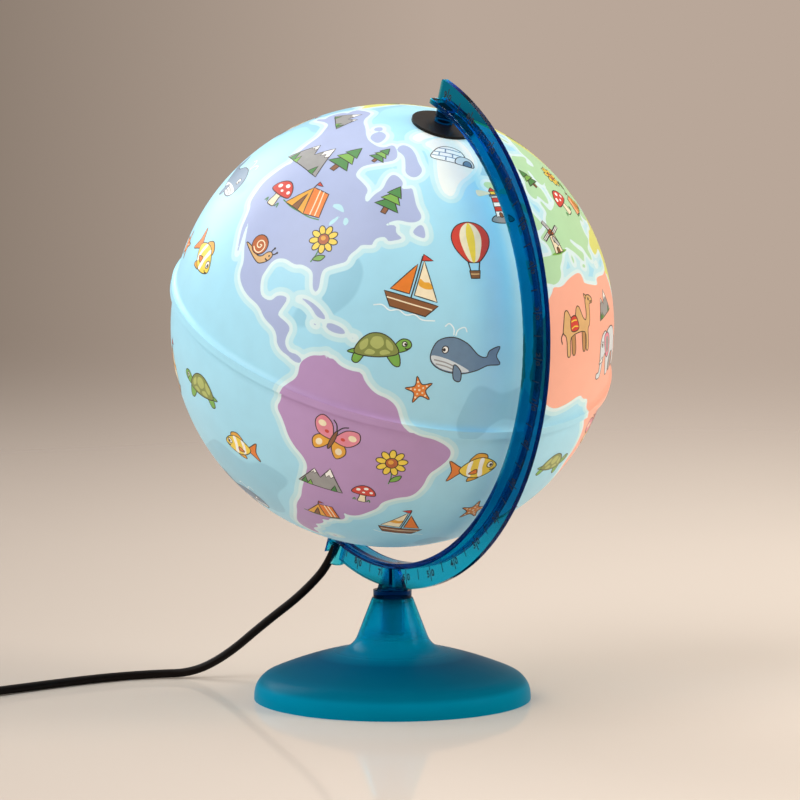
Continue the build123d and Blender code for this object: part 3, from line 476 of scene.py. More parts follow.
def printedMap():
    material, tree, shader = newMaterial("printed satin styrene", varnishAndGlow)
    place = addNode(tree, "ShaderNodeTexCoord").outputs["Object"]
    swell = addNode(tree, "ShaderNodeTexNoise", {
        "Vector": place, "Scale": perMetre(mapPaint["swell"]), "Detail": 1.0})
    deep = addNode(tree, "ShaderNodeMapRange", {
        "Value": swell.outputs["Fac"], "From Min": mapPaint["deepFrom"], "From Max": mapPaint["deepTo"]},
        interpolation_type="SMOOTHSTEP")
    colour = addNode(tree, "ShaderNodeMix", {
        0: deep.outputs["Result"], 6: linear(mapPaint["sea"]), 7: linear(mapPaint["deepSea"])},
        data_type="RGBA").outputs[2]
    bands = [("coast", -mapPaint["outerReach"], mapPaint["shelfBlur"], "outerShelf"),
             ("coast", -mapPaint["innerReach"], mapPaint["shelfBlur"], "innerShelf"),
             *((land, 0, mapPaint["coastBlur"], land) for land in lands)]
    for distance, line, blur, ink in bands:  # each lies over those before it
        inland = addNode(tree, "ShaderNodeAttribute", attribute_name=distance).outputs["Fac"]
        edge = addNode(tree, "ShaderNodeMapRange", {
            "Value": inland, "From Min": line - blur, "From Max": line + blur}).outputs["Result"]
        colour = addNode(tree, "ShaderNodeMix", {
            0: edge, 6: colour, 7: linear(mapPaint[ink])}, data_type="RGBA").outputs[2]
    layInk(tree, shader, place, colour, mapPaint)
    peel = addNode(tree, "ShaderNodeTexNoise", {
        "Vector": place, "Scale": perMetre(mapPaint["peel"]), "Detail": 1.0})
    bump = addNode(tree, "ShaderNodeBump", {
        "Height": peel.outputs["Fac"], "Strength": mapPaint["peelStrength"],
        "Distance": mapPaint["peelDepth"] * mm})
    tree.links.new(bump.outputs["Normal"], shader.inputs["Normal"])
    return material


# inside of the ball: bare white styrene, matt
bareStyrene, tree, shader = newMaterial("bare white styrene", {"Roughness": 0.6})
place = addNode(tree, "ShaderNodeTexCoord").outputs["Object"]
cloud = addNode(tree, "ShaderNodeTexNoise", {"Vector": place, "Scale": perMetre(30), "Detail": 2.0})
shade = addNode(tree, "ShaderNodeMix", {
    0: cloud.outputs["Fac"], 6: linear("#e9ecea"), 7: linear("#f4f5f2")}, data_type="RGBA")
tree.links.new(shade.outputs[2], shader.inputs["Base Color"])

mapMaterial = printedMap()
northMap = addHalf("map_north", True, mapMaterial, bareStyrene)
southMap = addHalf("map_south", False, mapMaterial, bareStyrene)
print("map drawn on", len(northMap.data.polygons) + len(southMap.data.polygons), "faces")

# small printed motifs: each is drawn flat in millimetres, then laid on the ball in one thin layer
motifPrint = {
    "lift": 0.08, "outline": 0.55, "stroke": 0.7, "curveSteps": 4, "sharpStep": 3.0, "ovalSteps": 18,
    "spotSteps": 10, "spotReach": 1.5, "spacing": 4.0, "gridStart": (0.37, 0.29),
    "weld": 1e-4, "sliver": 1e-7, "screen": 5, "screenTones": (0.84, 1.1),
}
inks = {
    "ink": "#2b2320", "white": "#fbfaf4", "cream": "#f6e7c4", "yellow": "#f4d44a", "amber": "#e9a93a",
    "orange": "#e8812e", "rust": "#b9622f", "brown": "#8a5a36", "sand": "#dcb177", "clay": "#bb8a55",
    "red": "#d24436", "rose": "#e58a9b", "leaf": "#7cb24b", "fir": "#4b8a46", "olive": "#86904a",
    "moss": "#b3bb6c", "stone": "#9b9a98", "mist": "#d6dde0", "slate": "#6c87a0", "foam": "#eefafc",
}


def mirrored(form, ink, points):
    if form in ("oval", "spot"):
        return form, ink, (-points[0], *points[1:4])
    return form, ink, points * (-1, 1)


def turned(points, angle, hub):
    c, s = math.cos(math.radians(angle)), math.sin(math.radians(angle))
    return [(hub[0] + c * x - s * y, hub[1] + s * x + c * y) for x, y in points]


def starPoints(count, outer, inner):
    rays = [[(0, inner if k % 2 else outer)] for k in range(2 * count)]
    return np.vstack([turned(ray, 180 * k / count, (0, 0)) for k, ray in enumerate(rays)])


def readShapes(drawing):  # form, ink and points of each line of a drawing
    for shape in drawing:
        if not isinstance(shape, str):
            yield shape
            continue
        words, numbers = shape.split(":")
        *sides, form, ink = words.split()
        points = [float(n) for n in numbers.replace(",", " ").split()]
        if form not in ("oval", "spot"):
            points = np.reshape(points, (-1, 2))
        yield form, ink, points
        if sides:
            yield mirrored(form, ink, points)


sail = [
    "line ink: 0 0, 0 6, 0 12",
    "sharp white: 0.3 3, 3.2 3, 3.2 12, 0.3 12",
    "line stone: 1.7 3.4, 1.75 7, 1.7 11.6",
]
# round, sharp and oval shapes have an outline, patch and spot have none, line is a stroke
# both adds the mirror image; points are x and y, an oval or spot has its middle, its radii and its turn
motifs = {
    "boat": [
        "line foam: -16 -13, -12 -11.8, -8 -13.4, -4 -12, 0 -13.4, 4 -12, 8 -13.4, 14 -12",
        "sharp brown: -13 -5, 13.5 -5, 9 -11.5, -8.5 -11.5",
        "line cream: -11 -7.6, 0 -7.8, 11.2 -7.6",
        "line ink: 0 -5, 0.1 5, 0 16",
        "sharp cream: 1.2 14, 12.5 -3.4, 1.2 -3.4",
        "patch amber: 1.8 2, 5 1, 8.6 2, 6.6 4.4, 4 4, 1.8 5",
        "sharp orange: -1.2 11.5, -10.5 -3.4, -1.2 -3.4",
        "sharp red: 0.2 17, 5.4 15.2, 0.2 13.6",
    ],
    "fish": [
        "round orange: -7 0, -11 4, -16 7.5, -14 0, -16 -7.5, -11 -4",
        "round amber: -4 5, 0 10.5, 6 9.4, 6.5 5.5",
        "round amber: -2 -5.4, -3.4 -9.4, 2.6 -8, 3.4 -6",
        "round yellow: -9.5 0, -5 5, 2 7.5, 9 5.2, 13.8 -0.4, 9 -5.2, 2 -7.2, -5 -5",
        "patch white: -4.2 4.6, -1.8 5.7, -2.5 0, -1.8 -5.6, -4.2 -4.6, -4.9 0",
        "patch white: 2.8 6.6, 5.4 6.1, 4.7 0, 5.4 -5.7, 2.8 -6.4, 2.1 0",
        "round orange: 1 -0.6, -3.4 -3.4, 1.6 -4",
        "oval white: 9.4 1.2, 1.9 2.1",
        "spot ink: 9.9 1, 0.9 1.1",
        "line ink: 12.8 -1.8, 11.2 -2.8, 9.6 -2.4",
    ],
    "whale": [
        "line foam: 7 9.5, 6.4 12.6, 3.4 14.6, 1.6 12.6",
        "line foam: 8 9.5, 8.8 12.8, 11.6 14.6, 13.4 12.6",
        "round slate: 17 -2, 15 5, 8 8.5, 0 7.2, -7 3, -11.6 2.8, -12.6 6.4, -17.6 9.6, -17 4.6, -20 1, "
            "-13.6 -1, -8 -5, 0 -8.4, 9 -8.8, 15 -6.6",
        "patch mist: 16.2 -2.8, 9 -2.6, 2 -3.8, -4.6 -6, 1 -7.8, 9 -8.2, 14.6 -6.2",
        "line stone: 14.6 -4.6, 8.6 -4.6, 2.6 -5.6",
        "line stone: 13.2 -6.4, 8.2 -6.4, 3.6 -7",
        "round slate: 4 -4.6, 2.4 -11.4, -1.4 -12, -0.4 -7",
        "oval white: 10.4 1.6, 1.6 1.8",
        "spot ink: 10.9 1.4, 0.8 0.9",
    ],
    "turtle": [
        "round leaf: 5 -2, 9.4 -9, 13.4 -9.4, 12 -2",
        "round leaf: -6 -2, -10 -8.6, -13.6 -7.4, -11 -1",
        "round leaf: -11 -0.6, -16.4 -2.8, -11 -3.6",
        "round leaf: 9.6 1, 13.6 5.4, 18 5, 19.4 1.8, 16.2 -1, 11 -2",
        "round olive: -12.4 -3, -10 3, -4 7.8, 3 8, 9 4.2, 12.4 -2.4, 4 -4.8, -6 -4.8",
        "patch moss: -2 6, 2.6 6, 3.9 2, 0.3 -0.6, -3.6 2",
        "patch moss: -9.4 2, -5.2 5, -5.2 0.8, -8.6 -1.6",
        "patch moss: 5.4 5, 9 1.8, 8.8 -1.2, 5.6 0.8",
        "patch moss: -4.4 -0.8, -0.8 -2, -2 -3.8, -6.6 -3.4",
        "patch moss: 2 -2, 5.2 -0.8, 7.8 -2.6, 3 -3.8",
        "oval white: 15.6 2.8, 1.4 1.5",
        "spot ink: 16 2.7, 0.7 0.8",
        "line ink: 18.8 0.8, 17.2 0, 15.8 0.4",
    ],
    "penguin": [
        "both round amber: 1 -13, 6.4 -13.4, 7 -15.6, 1 -15.6",
        "both round slate: 7 4.4, 12.6 -3, 11.6 -6.4, 8 -3",
        "round slate: 0 15, 5 13, 6.4 7, 9 0, 8.2 -9, 4 -14, -4 -14, -8.2 -9, -9 0, -6.4 7, -5 13",
        "patch white: 0 8.4, 2.4 12, 4.8 9.6, 5 5, 6 -2, 4.6 -10.6, 0 -13, -4.6 -10.6, -6 -2, -5 5, "
            "-4.8 9.6, -2.4 12",
        "round orange: -2.2 8.6, 2.2 8.6, 0 5.4",
        "both spot ink: 2.7 9.8, 0.9 1.1",
    ],
    "elephant": [
        "round stone: 1 -2, 5 -2, 5 -12, 1 -12",
        "round stone: 9 -1, 12 -1, 11 -12, 8 -12",
        "line ink: 15.4 3, 18 0, 17.6 -4",
        "round mist: -6 9.4, 3 11.6, 11 9.4, 15.6 3, 15.4 -12.6, 11 -12.6, 9.6 -4.4, 1 -4.6, -0.6 -12.6, "
            "-5.2 -12.6, -7 -2",
        "round mist: -4 11.4, -10 12, -14.6 7.6, -16 0, -17 -7, -20.6 -7.6, -20 -10.6, -15 -10.6, "
            "-12.6 -4, -9 0, -5 1.4",
        "round white: -12 -0.4, -17.4 -2.6, -13 -3",
        "round rose: -8 9.6, -2 10.6, 2 6, 0 -1.4, -4.6 -3, -7.6 2",
        "patch stone: -5.6 8, -2 8.4, 0 5.4, -1.4 0.6, -4.4 -0.4, -5.8 3",
        "oval white: -11.4 6.6, 1.3 1.5",
        "spot ink: -11.8 6.5, 0.7 0.8",
    ],
    "camel": [
        "line ink: -12.6 1, -15.4 -2.4, -15 -6",
        "round clay: -6 -1, -3 -1, -3.4 -13, -6.4 -13",
        "round clay: 4.6 -1, 7.8 -1, 7 -13, 4.2 -13",
        "round sand: -13.4 0, -12 5, -9.6 11, -7 11.2, -4.4 6.4, -1 6.4, 1.8 11.4, 4.6 11.2, 7 5, 9.8 3, "
            "11.4 7, 12 12.4, 14 15.6, 17.6 15.4, 20.6 12.8, 19.6 10.6, 16.4 10.4, 15.2 5, 13.4 -0.6, "
            "11.2 -3, 10.4 -13.4, 7.8 -13.4, 7.4 -3.6, -6.6 -3.8, -8.2 -13.4, -11 -13.4, -11 -3.4",
        "round red: -5 6.6, 0.2 6.8, 1.4 -0.4, -5.8 -0.4",
        "line yellow: -5.4 0.8, -2.2 1.6, 1 0.8",
        "line yellow: -5 4.6, -2.2 5, 0.4 4.6",
        "spot ink: 16.2 13.4, 0.8 1",
        "line ink: 20 11.6, 18.4 11.6, 17.4 12",
        "round sand: 12.8 14, 12 17.2, 14.2 15.6",
    ],
    "snail": [
        "line ink: 13 5, 12.2 7.6, 12.2 10",
        "line ink: 15 5, 16.4 7.4, 17 9.6",
        "spot ink: 12.2 10.2, 1 1",
        "spot ink: 17 9.8, 1 1",
        "round sand: -14 -8.6, -6 -6, 4 -6, 8.6 -3, 10 3, 12.6 6, 16 5, 16.6 0, 14 -6, 10 -9.2, 0 -9.8",
        "oval rust: -1.6 0.8, 9 8.2",
        "line cream: -1.6 0.8, 0.3 1.8, 0.8 -0.2, -1 -1.8, -3.8 -1.2, -4.8 1.4, -3.2 4.2, 0.2 5, 3.6 3.4, "
            "4.8 -0.2, 3.4 -4, -0.6 -5.6, -5 -4.6",
        "spot ink: 14 2.6, 0.8 0.9",
        "line ink: 15.8 -0.6, 14.4 -1.6, 13 -1",
    ],
    "butterfly": [
        "line ink: 0 6, 2 10, 5 12",
        "line ink: 0 6, -2 10, -5 12",
        "both round amber: 0.8 -0.4, 8 -1, 10.6 -6, 7 -11.4, 2 -6.4",
        "both spot cream: 6.4 -6, 2 2.4, 20",
        "both round rose: 0.6 2, 4.6 9.4, 11.6 11.6, 14.2 6, 9.4 -0.4, 0.8 -0.6",
        "both spot cream: 9.8 6.4, 2.5 2",
        "both spot red: 5.2 3, 1.4 1.1",
        "oval brown: 0 -0.6, 1.3 7",
    ],
    "balloon": [
        "both line ink: 3.4 -6, 2.9 -8.6, 2.4 -11.4",
        "round red: 0 16, 7 13.8, 10.6 8, 9.4 1, 4 -6, 0 -7, -4 -6, -9.4 1, -10.6 8, -7 13.8",
        "patch cream: 0 15.5, 4 13, 6 7.8, 5.2 1, 2.2 -6, -2.2 -6, -5.2 1, -6 7.8, -4 13",
        "patch yellow: 0 15.5, 1.5 12.6, 2.3 7.8, 1.9 1, 0.8 -6.2, -0.8 -6.2, -1.9 1, -2.3 7.8, -1.5 12.6",
        "sharp brown: -3 -11.4, 3 -11.4, 2.4 -15.6, -2.4 -15.6",
        "line sand: -2.4 -13.2, 0 -13.3, 2.4 -13.2",
    ],
    "mountain": [
        "sharp stone: -16 -8, -6 9, -1 2, 5 13, 16 -8",
        "sharp white: 5 13, 8.4 6.5, 6.6 4.2, 4.9 6.6, 3 3.8, 1.7 7",
        "sharp white: -6 9, -4 6.2, -5.3 4.2, -6.4 6, -7.4 4.2, -8.4 5",
        "sharp fir: -14 -8, -11.4 -1.6, -8.8 -8",
        "sharp leaf: -9.6 -8.2, -7.4 -3, -5.2 -8.2",
        "sharp fir: 7.6 -8.2, 10 -2, 12.4 -8.2",
    ],
    "lighthouse": [
        "both patch cream: 3 12.4, 13 15.6, 13.4 9.6, 3 11.2",
        "round stone: -9.6 -13, -7 -9, 0 -7.6, 7 -9, 9.6 -13, 0 -15",
        "sharp white: -4.6 -9.4, -2.8 9, 2.8 9, 4.6 -9.4",
        "sharp red: -4.1 -4.6, -3.7 -0.6, 3.7 -0.6, 4.1 -4.6",
        "sharp red: -3.3 3.4, -2.9 7.4, 2.9 7.4, 3.3 3.4",
        "sharp slate: -4 9, -4 10.4, 4 10.4, 4 9",
        "sharp yellow: -2.3 10.4, -2.3 13.4, 2.3 13.4, 2.3 10.4",
        "sharp red: -3.4 13.4, 0 17, 3.4 13.4",
        "round brown: -1.2 -9.6, -1.2 -6.8, 0 -5.8, 1.2 -6.8, 1.2 -9.6",
    ],
    "windmill": [
        "patch leaf: -11 -13, -5 -11.6, 0 -12.4, 6 -11.6, 11 -13, 0 -14.6",
        "sharp cream: -5.4 -13, -3.2 3.6, 3.2 3.6, 5.4 -13",
        "round rust: -4 3.4, -2.6 7, 0 8.6, 2.6 7, 4 3.4, 0 2.8",
        "round brown: -1.5 -13, -1.5 -9.4, 0 -8.2, 1.5 -9.4, 1.5 -13",
        "oval slate: 0 -2.6, 1.1 1.4",
        *[(form, ink, turned(points, angle, (0, 4.6)))
          for form, ink, points in readShapes(sail) for angle in range(25, 360, 90)],
        "oval brown: 0 4.6, 1.2 1.2",
    ],
    "tent": [
        "line fir: -15 -8.4, -6 -9.6, 2 -9.2, 10 -8.6, 17 -6.4",
        "sharp orange: -3 8.5, 9 10, 16 -5.4, 5 -9",
        "sharp amber: -12 -9, -3 8.5, 5 -9",
        "sharp brown: -5.8 -9, -3 3.2, -0.4 -9",
        "line cream: 2.2 9.1, 6.2 0.6, 9.4 -7.2",
        "line cream: 5.2 9.4, 9.4 1.4, 12.6 -6",
        "line ink: -3 8.5, -3.1 10.6, -3 13",
        "sharp red: -3 13.4, 1.6 12, -3 10.6",
    ],
    "mushroom": [
        "line fir: -8 -11, -6.6 -8, -5.6 -11",
        "line fir: 5 -11, 6.6 -7.4, 8 -11",
        "round cream: -3.6 -11, -2.8 -4, -3.6 1, 3.6 1, 2.8 -4, 4 -11, 0 -12",
        "round red: -11 0, -9 6, -3 10.5, 3 10.5, 9 6, 11 0, 5 -1.8, -5 -1.8",
        "spot white: -5.4 4.4, 2.1 1.7, 25",
        "spot white: 1.4 7.2, 2.2 1.7",
        "spot white: 6.8 3, 1.6 1.5",
        "spot white: 0 1.8, 1.5 1.1",
    ],
    "starfish": [
        ("round", "orange", starPoints(5, 10.5, 4.6)),
        *[("spot", "cream", (*turned([(0, reach)], angle, (0, 0))[0], 0.75, 0.75))
          for angle in range(0, 360, 72) for reach in (3.2, 6.2)],
        "spot cream: 0 0, 0.9 0.9",
    ],
    "pine": [
        "sharp brown: -1.7 -6, -1.7 -11.4, 1.7 -11.4, 1.7 -6",
        "sharp fir: -8.4 -7, 0 2, 8.4 -7",
        "sharp leaf: -6.8 -1.6, 0 6.6, 6.8 -1.6",
        "sharp fir: -5 3.4, 0 11.6, 5 3.4",
    ],
    "flower": [
        "line fir: 0.4 -2, 1 -8, 0 -14",
        "round leaf: 0.4 -12, 5.4 -10.6, 7 -6.4, 2.4 -8",
        *[("oval", "yellow", (*turned([(0, 6.4)], angle, (0, 3))[0], 2.1, 3.4, angle))
          for angle in range(0, 360, 40)],
        "oval rust: 0 3, 3.8 3.8",
        "spot amber: -0.6 3.6, 1.7 1.6",
    ],
    "igloo": [
        "round white: -13 -6.6, -12 0, -7.6 6, -1 8.2, 5.6 6, 9.4 0, 10 -6.6, -1 -7.6",
        "line slate: -12 0.2, -1.4 1, 9.2 0.2",
        "line slate: -8.8 4.6, -1.4 5.2, 6 4.6",
        "line slate: -12.8 -3.6, -1.4 -3, 9.8 -3.6",
        "line slate: -4 4.8, -4.2 3, -4.2 1.2",
        "line slate: -8 0.2, -8.2 -1.6, -8.2 -3.2",
        "line slate: 0.6 0.6, 0.8 -1.2, 0.8 -2.8",
        "line slate: -3.6 -3.4, -3.6 -5, -3.6 -6.8",
        "round mist: 3 -7.4, 3.6 -2, 8 0.6, 13.6 -1.4, 15.4 -7.4, 9 -8",
        "round slate: 8.4 -7.6, 8.8 -4, 11.2 -2.6, 13.2 -4, 13.8 -7.6",
    ],
}
# where each motif is printed: degrees east and north, turn and size, below nought where it is mirrored
motifPlaces = {
    "mountain": "-119 54 8 0.98, -149 65 10 -0.72, -66 -23 0 0.79, 21 25 0 0.66, 86 33 0 1.08, 137 66 0 0.84",
    "pine": (
        "-105 60 4 0.96, -71 55 -6 0.86, -92 66.5 0 0.6, 16 64 0 0.6, 76 62 0 0.9, 112 62 0 0.96, "
        "160 66.5 0 0.6"
    ),
    "tent": "-101 45 0 0.9, -65 -36 0 0.66, 40 49 0 -0.6, 105 45 0 0.9",
    "flower": "-86 37 0 0.84, -49 -13 6 0.9, 43 57 0 0.74, 24 -24 0 0.84, 124 54 0 0.84, 121 -27 0 0.72",
    "snail": "-104 28.5 -18 0.66, 35 -12 0 0.5, 133 -25 0 0.9",
    "mushroom": "-113 42 6 0.74, -54 -24 0 0.6, 27 53.5 0 0.7, 99 66 0 0.66, 145 -30 0 0.66",
    "igloo": "-42 75 -8 0.84, 105 -72 0 0.72, -105 -77 0 0.6",
    "boat": (
        "-54 34 -4 1.14, -132 -20 0 1.08, -39 -35 0 -0.96, 0 -38 0 0.96, 64 13 0 0.84, 158 31 0 -1.08, "
        "-170 47 0 0.96, 28 -52 0 -0.84"
    ),
    "balloon": "-36 46 6 1.02, 92 53 0 0.9",
    "turtle": "-60 17.5 12 0.96, -108 -14 8 -0.96, 2 -14 -10 0.84, 95 -36 0 -0.96, 166 -14 0 0.96",
    "whale": (
        "-37 19 -8 -1.08, -143 33 6 1.08, -100 -48 0 0.96, 78 -27 6 1.14, "
        "178 16 0 -1.08, -168 -40 0 1.08"
    ),
    "starfish": (
        "-47 9.5 20 0.74, -141 11 8 0.84, -20 -27 0 0.84, 88 9 0 0.72, "
        "-170 -12 0 0.84, 115 -50 0 0.84"
    ),
    "fish": (
        "-124 16 -14 1.02, -92 -24 10 -0.84, -27 -11 10 0.96, 62 -12 0 0.96, 141 17 0 0.96, "
        "155 -49 0 0.84, 65 -46 0 -0.9"
    ),
    "butterfly": "-65 -9 -14 0.94, 22 -9 10 0.86, 108 31 0 0.96",
    "lighthouse": "-20 58.5 0 0.72, 172 48 0 0.84",
    "windmill": "3 47.5 0 0.66",
    "camel": "2 24 0 0.98, 64 42 0 -0.84",
    "elephant": "22 13 0 1.02, 78 21 0 -0.66",
    "penguin": "-20 -72 0 0.72, 60 -72 0 0.72, 145 -73 0 -0.72",
}


def smoothRun(points, closed):  # a curve through the points
    p = np.array(points, float)
    if closed:
        before, here, after, beyond = (np.roll(p, k, axis=0) for k in (1, 0, -1, -2))
    else:
        here, after = p[:-1], p[1:]
        before = np.vstack([2 * p[:1] - p[1:2], p[:-2]])
        beyond = np.vstack([p[2:], 2 * p[-1:] - p[-2:-1]])
    t = (np.arange(motifPrint["curveSteps"]) / motifPrint["curveSteps"])[None, :, None]
    before, here, after, beyond = (q[:, None, :] for q in (before, here, after, beyond))
    run = 0.5 * (2 * here + (after - before) * t + (2 * before - 5 * here + 4 * after - beyond) * t ** 2
                 + (3 * here - before - 3 * after + beyond) * t ** 3)
    run = run.reshape(-1, 2)
    return run if closed else np.vstack([run, p[-1:]])


def straightRun(points):
    p = np.array(points, float)
    run = []
    for a, b in zip(p, np.roll(p, -1, axis=0)):
        count = max(1, round(float(np.linalg.norm(b - a)) / motifPrint["sharpStep"]))
        run += [a + (b - a) * k / count for k in range(count)]
    return np.array(run)


def ovalRun(cx, cy, rx, ry, angle=0):
    count = motifPrint["ovalSteps" if max(rx, ry) > motifPrint["spotReach"] else "spotSteps"]
    turns = 2 * math.pi * np.arange(count) / count
    ring = np.stack([rx * np.cos(turns), ry * np.sin(turns)], axis=1)
    return np.array(turned(ring, angle, (cx, cy)))


def sideways(run, closed):  # unit normals to the left of the way along
    if closed:
        along = np.roll(run, -1, axis=0) - np.roll(run, 1, axis=0)
    else:
        along = np.gradient(run, axis=0)
    along /= np.linalg.norm(along, axis=1)[:, None]
    return np.stack([-along[:, 1], along[:, 0]], axis=1)


def motifLayers(shapes, size):  # closed loops from the lowest to the highest, each with its ink
    layers = []
    half = motifPrint["outline"] / 2 / size
    for form, ink, points in shapes:
        if form == "line":
            run = smoothRun(points, False)
            side = sideways(run, False) * motifPrint["stroke"] / 2 / size
            layers.append((np.vstack([run - side, (run + side)[::-1]]), ink))
            continue
        if form in ("oval", "spot"):
            run = ovalRun(*points)
        else:
            run = straightRun(points) if form == "sharp" else smoothRun(points, True)
        area = (run[:, 0] * np.roll(run[:, 1], -1) - np.roll(run[:, 0], -1) * run[:, 1]).sum()
        run = run if area > 0 else run[::-1]
        if form in ("patch", "spot"):
            layers.append((run, ink))
        else:
            side = sideways(run, True) * half
            layers += [(run - side, "ink"), (run + side, ink)]
    return layers


def flatMotif(shapes, size):  # one layer of triangles, each in the ink that lies on top there
    layers = motifLayers(shapes, size)
    points, edges = [], []
    for loop, ink in layers:
        first = len(points)
        points += [Vector(p) for p in loop]
        edges += [(first + k, first + (k + 1) % len(loop)) for k in range(len(loop))]
    everything = np.vstack([loop for loop, ink in layers])
    low, high = everything.min(axis=0), everything.max(axis=0)
    step, (startX, startY) = motifPrint["spacing"], motifPrint["gridStart"]
    for x in np.arange(low[0] + startX, high[0], step):
        points += [Vector((x, y)) for y in np.arange(low[1] + startY, high[1], step)]
    corners, _, faces, *_ = delaunay_2d_cdt(points, edges, [], 0, motifPrint["weld"])
    corners = np.array([tuple(c) for c in corners])
    faces = np.array(faces)
    middles = corners[faces].mean(axis=1)
    top = np.full(len(faces), "", dtype=object)
    for loop, ink in layers:
        top[insideLoop(middles, loop)] = ink
    a, b, c = (corners[faces[:, k]] for k in range(3))
    area = (b - a)[:, 0] * (c - a)[:, 1] - (b - a)[:, 1] * (c - a)[:, 0]
    faces[area < 0] = faces[area < 0][:, ::-1]
    keep = (top != "") & (np.abs(area) > motifPrint["sliver"])
    used, faces = np.unique(faces[keep], return_inverse=True)
    return corners[used], faces.reshape(-1, 3), top[keep]


def layOnBall(flat, lon, lat):  # a flat drawing about its middle, wrapped on the ball
    centre = onBall(np.array([[lon, lat]]), 1.0)[0]
    east = np.cross((0, 0, 1), centre)
    east /= np.linalg.norm(east)
    north = np.cross(centre, east)
    reach = np.maximum(np.linalg.norm(flat, axis=1), 1e-9)[:, None]
    heading = (flat[:, :1] * east + flat[:, 1:] * north) / reach
    angle = reach / globe["radius"]
    return (globe["radius"] + motifPrint["lift"]) * (np.cos(angle) * centre + np.sin(angle) * heading)


def addMotifs(material):
    points, faces, colours = [], [], []
    drawn, first = {}, 0
    for name, places in motifPlaces.items():
        for lon, lat, turn, size in readLoop(places):
            if (name, abs(size)) not in drawn:
                drawn[name, abs(size)] = flatMotif(readShapes(motifs[name]), abs(size))
            flat, triangles, top = drawn[name, abs(size)]
            flat = np.array(turned(flat * (size, abs(size)), turn, (0, 0)))
            points.append(layOnBall(flat, lon, lat))
            faces.append((triangles if size > 0 else triangles[:, ::-1]) + first)
            colours.append([linear(inks[ink]) for ink in top])
            first += len(flat)
    mesh = meshFrom("map_motifs", fromGlobe(np.vstack(points)), np.vstack(faces).tolist())
    shades = np.repeat(np.vstack(colours), 3, axis=0)
    mesh.color_attributes.new("inkColour", "FLOAT_COLOR", "CORNER").data.foreach_set("color", shades.ravel())
    mesh.shade_smooth()
    piece = newObject("map_motifs", mesh, material)
    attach(piece, "globe")
    return piece


# the same satin varnish and faint light from inside over the motifs' inks
motifInk, tree, shader = newMaterial("varnished motif inks", varnishAndGlow)
ink = addNode(tree, "ShaderNodeVertexColor", layer_name="inkColour").outputs["Color"]
layInk(tree, shader, addNode(tree, "ShaderNodeTexCoord").outputs["Object"], ink, motifPrint)
mapMotifs = addMotifs(motifInk)
print("motifs printed with", len(mapMotifs.data.polygons), "faces")


def tintByHeight(material, top, stops):  # its colour, with painted light and shade, from the table up to its top, in millimetres
    tree = material.node_tree
    shader = tree.nodes["Principled BSDF"]
    place = addNode(tree, "ShaderNodeTexCoord").outputs["Object"]
    rise = addNode(tree, "ShaderNodeSeparateXYZ", {"Vector": place}).outputs["Z"]
    height = addNode(tree, "ShaderNodeMapRange", {"Value": rise, "From Max": top * mm}).outputs["Result"]
    ramp = addNode(tree, "ShaderNodeValToRGB", {"Fac": height})
    for k, (stop, colour) in enumerate(stops):
        if k > 1:
            ramp.color_ramp.elements.new(stop / top)
        ramp.color_ramp.elements[k].position = stop / top
        ramp.color_ramp.elements[k].color = linear(colour)
    grain = shader.inputs["Base Color"].links[0].from_socket
    shade = addNode(tree, "ShaderNodeMix", {
        0: 1.0, 6: ramp.outputs["Color"], 7: grain}, data_type="RGBA", blend_type="MULTIPLY")
    tree.links.new(shade.outputs[2], shader.inputs["Base Color"])
    return tree, shader, height


def letLampsThrough(tree, shader, colour):  # it throws a coloured shade, not a black one
    passed = addNode(tree, "ShaderNodeBsdfTransparent", {"Color": linear(colour)})
    shadow = addNode(tree, "ShaderNodeLightPath").outputs["Is Shadow Ray"]
    cast = addNode(tree, "ShaderNodeMixShader", {
        0: shadow, 1: shader.outputs["BSDF"], 2: passed.outputs["BSDF"]})
    tree.links.new(cast.outputs["Shader"], tree.nodes["Material Output"].inputs["Surface"])


# clear tinted styrene, polished mould: deep blue where the light goes a long way through it, and painted
# light and shade by height: paler at its foot and its top end, darker blue where the ball stands behind it
clearTintAndShade = {
    "through": (0.0, 0.835, 0.93, 1.0), "density": 1220.0, "top": 352.0,
    "stops": [(0.0, "#70c0ae"), (64.0, "#70c0ae"), (69.0, "#f2fbfb"), (88.0, "#f2fbfb"), (125.0, "#5ea4bc"),
              (322.0, "#62a8be"), (342.0, "#d0e8ee")],
}
# a faint painted blue glow keeps its thickest parts from rendering black
clearBlue = grained("clear blue styrene", "#f6fbfd", "#ffffff", 6.0, 0.003, {
    "Roughness": 0.06, "Transmission Weight": 1.0, "IOR": 1.16, "Specular Tint": linear("#4fb4e6"),
    "Emission Color": linear("#003a5a"), "Emission Strength": 0.05})
# painted light and shade by height over the arm's own colour
tree, shader, _ = tintByHeight(clearBlue, clearTintAndShade["top"], clearTintAndShade["stops"])
depth = addNode(tree, "ShaderNodeVolumeAbsorption", {
    "Color": clearTintAndShade["through"], "Density": clearTintAndShade["density"]})
tree.links.new(depth.outputs["Volume"], tree.nodes["Material Output"].inputs["Volume"])
letLampsThrough(tree, shader, "#ffffff")
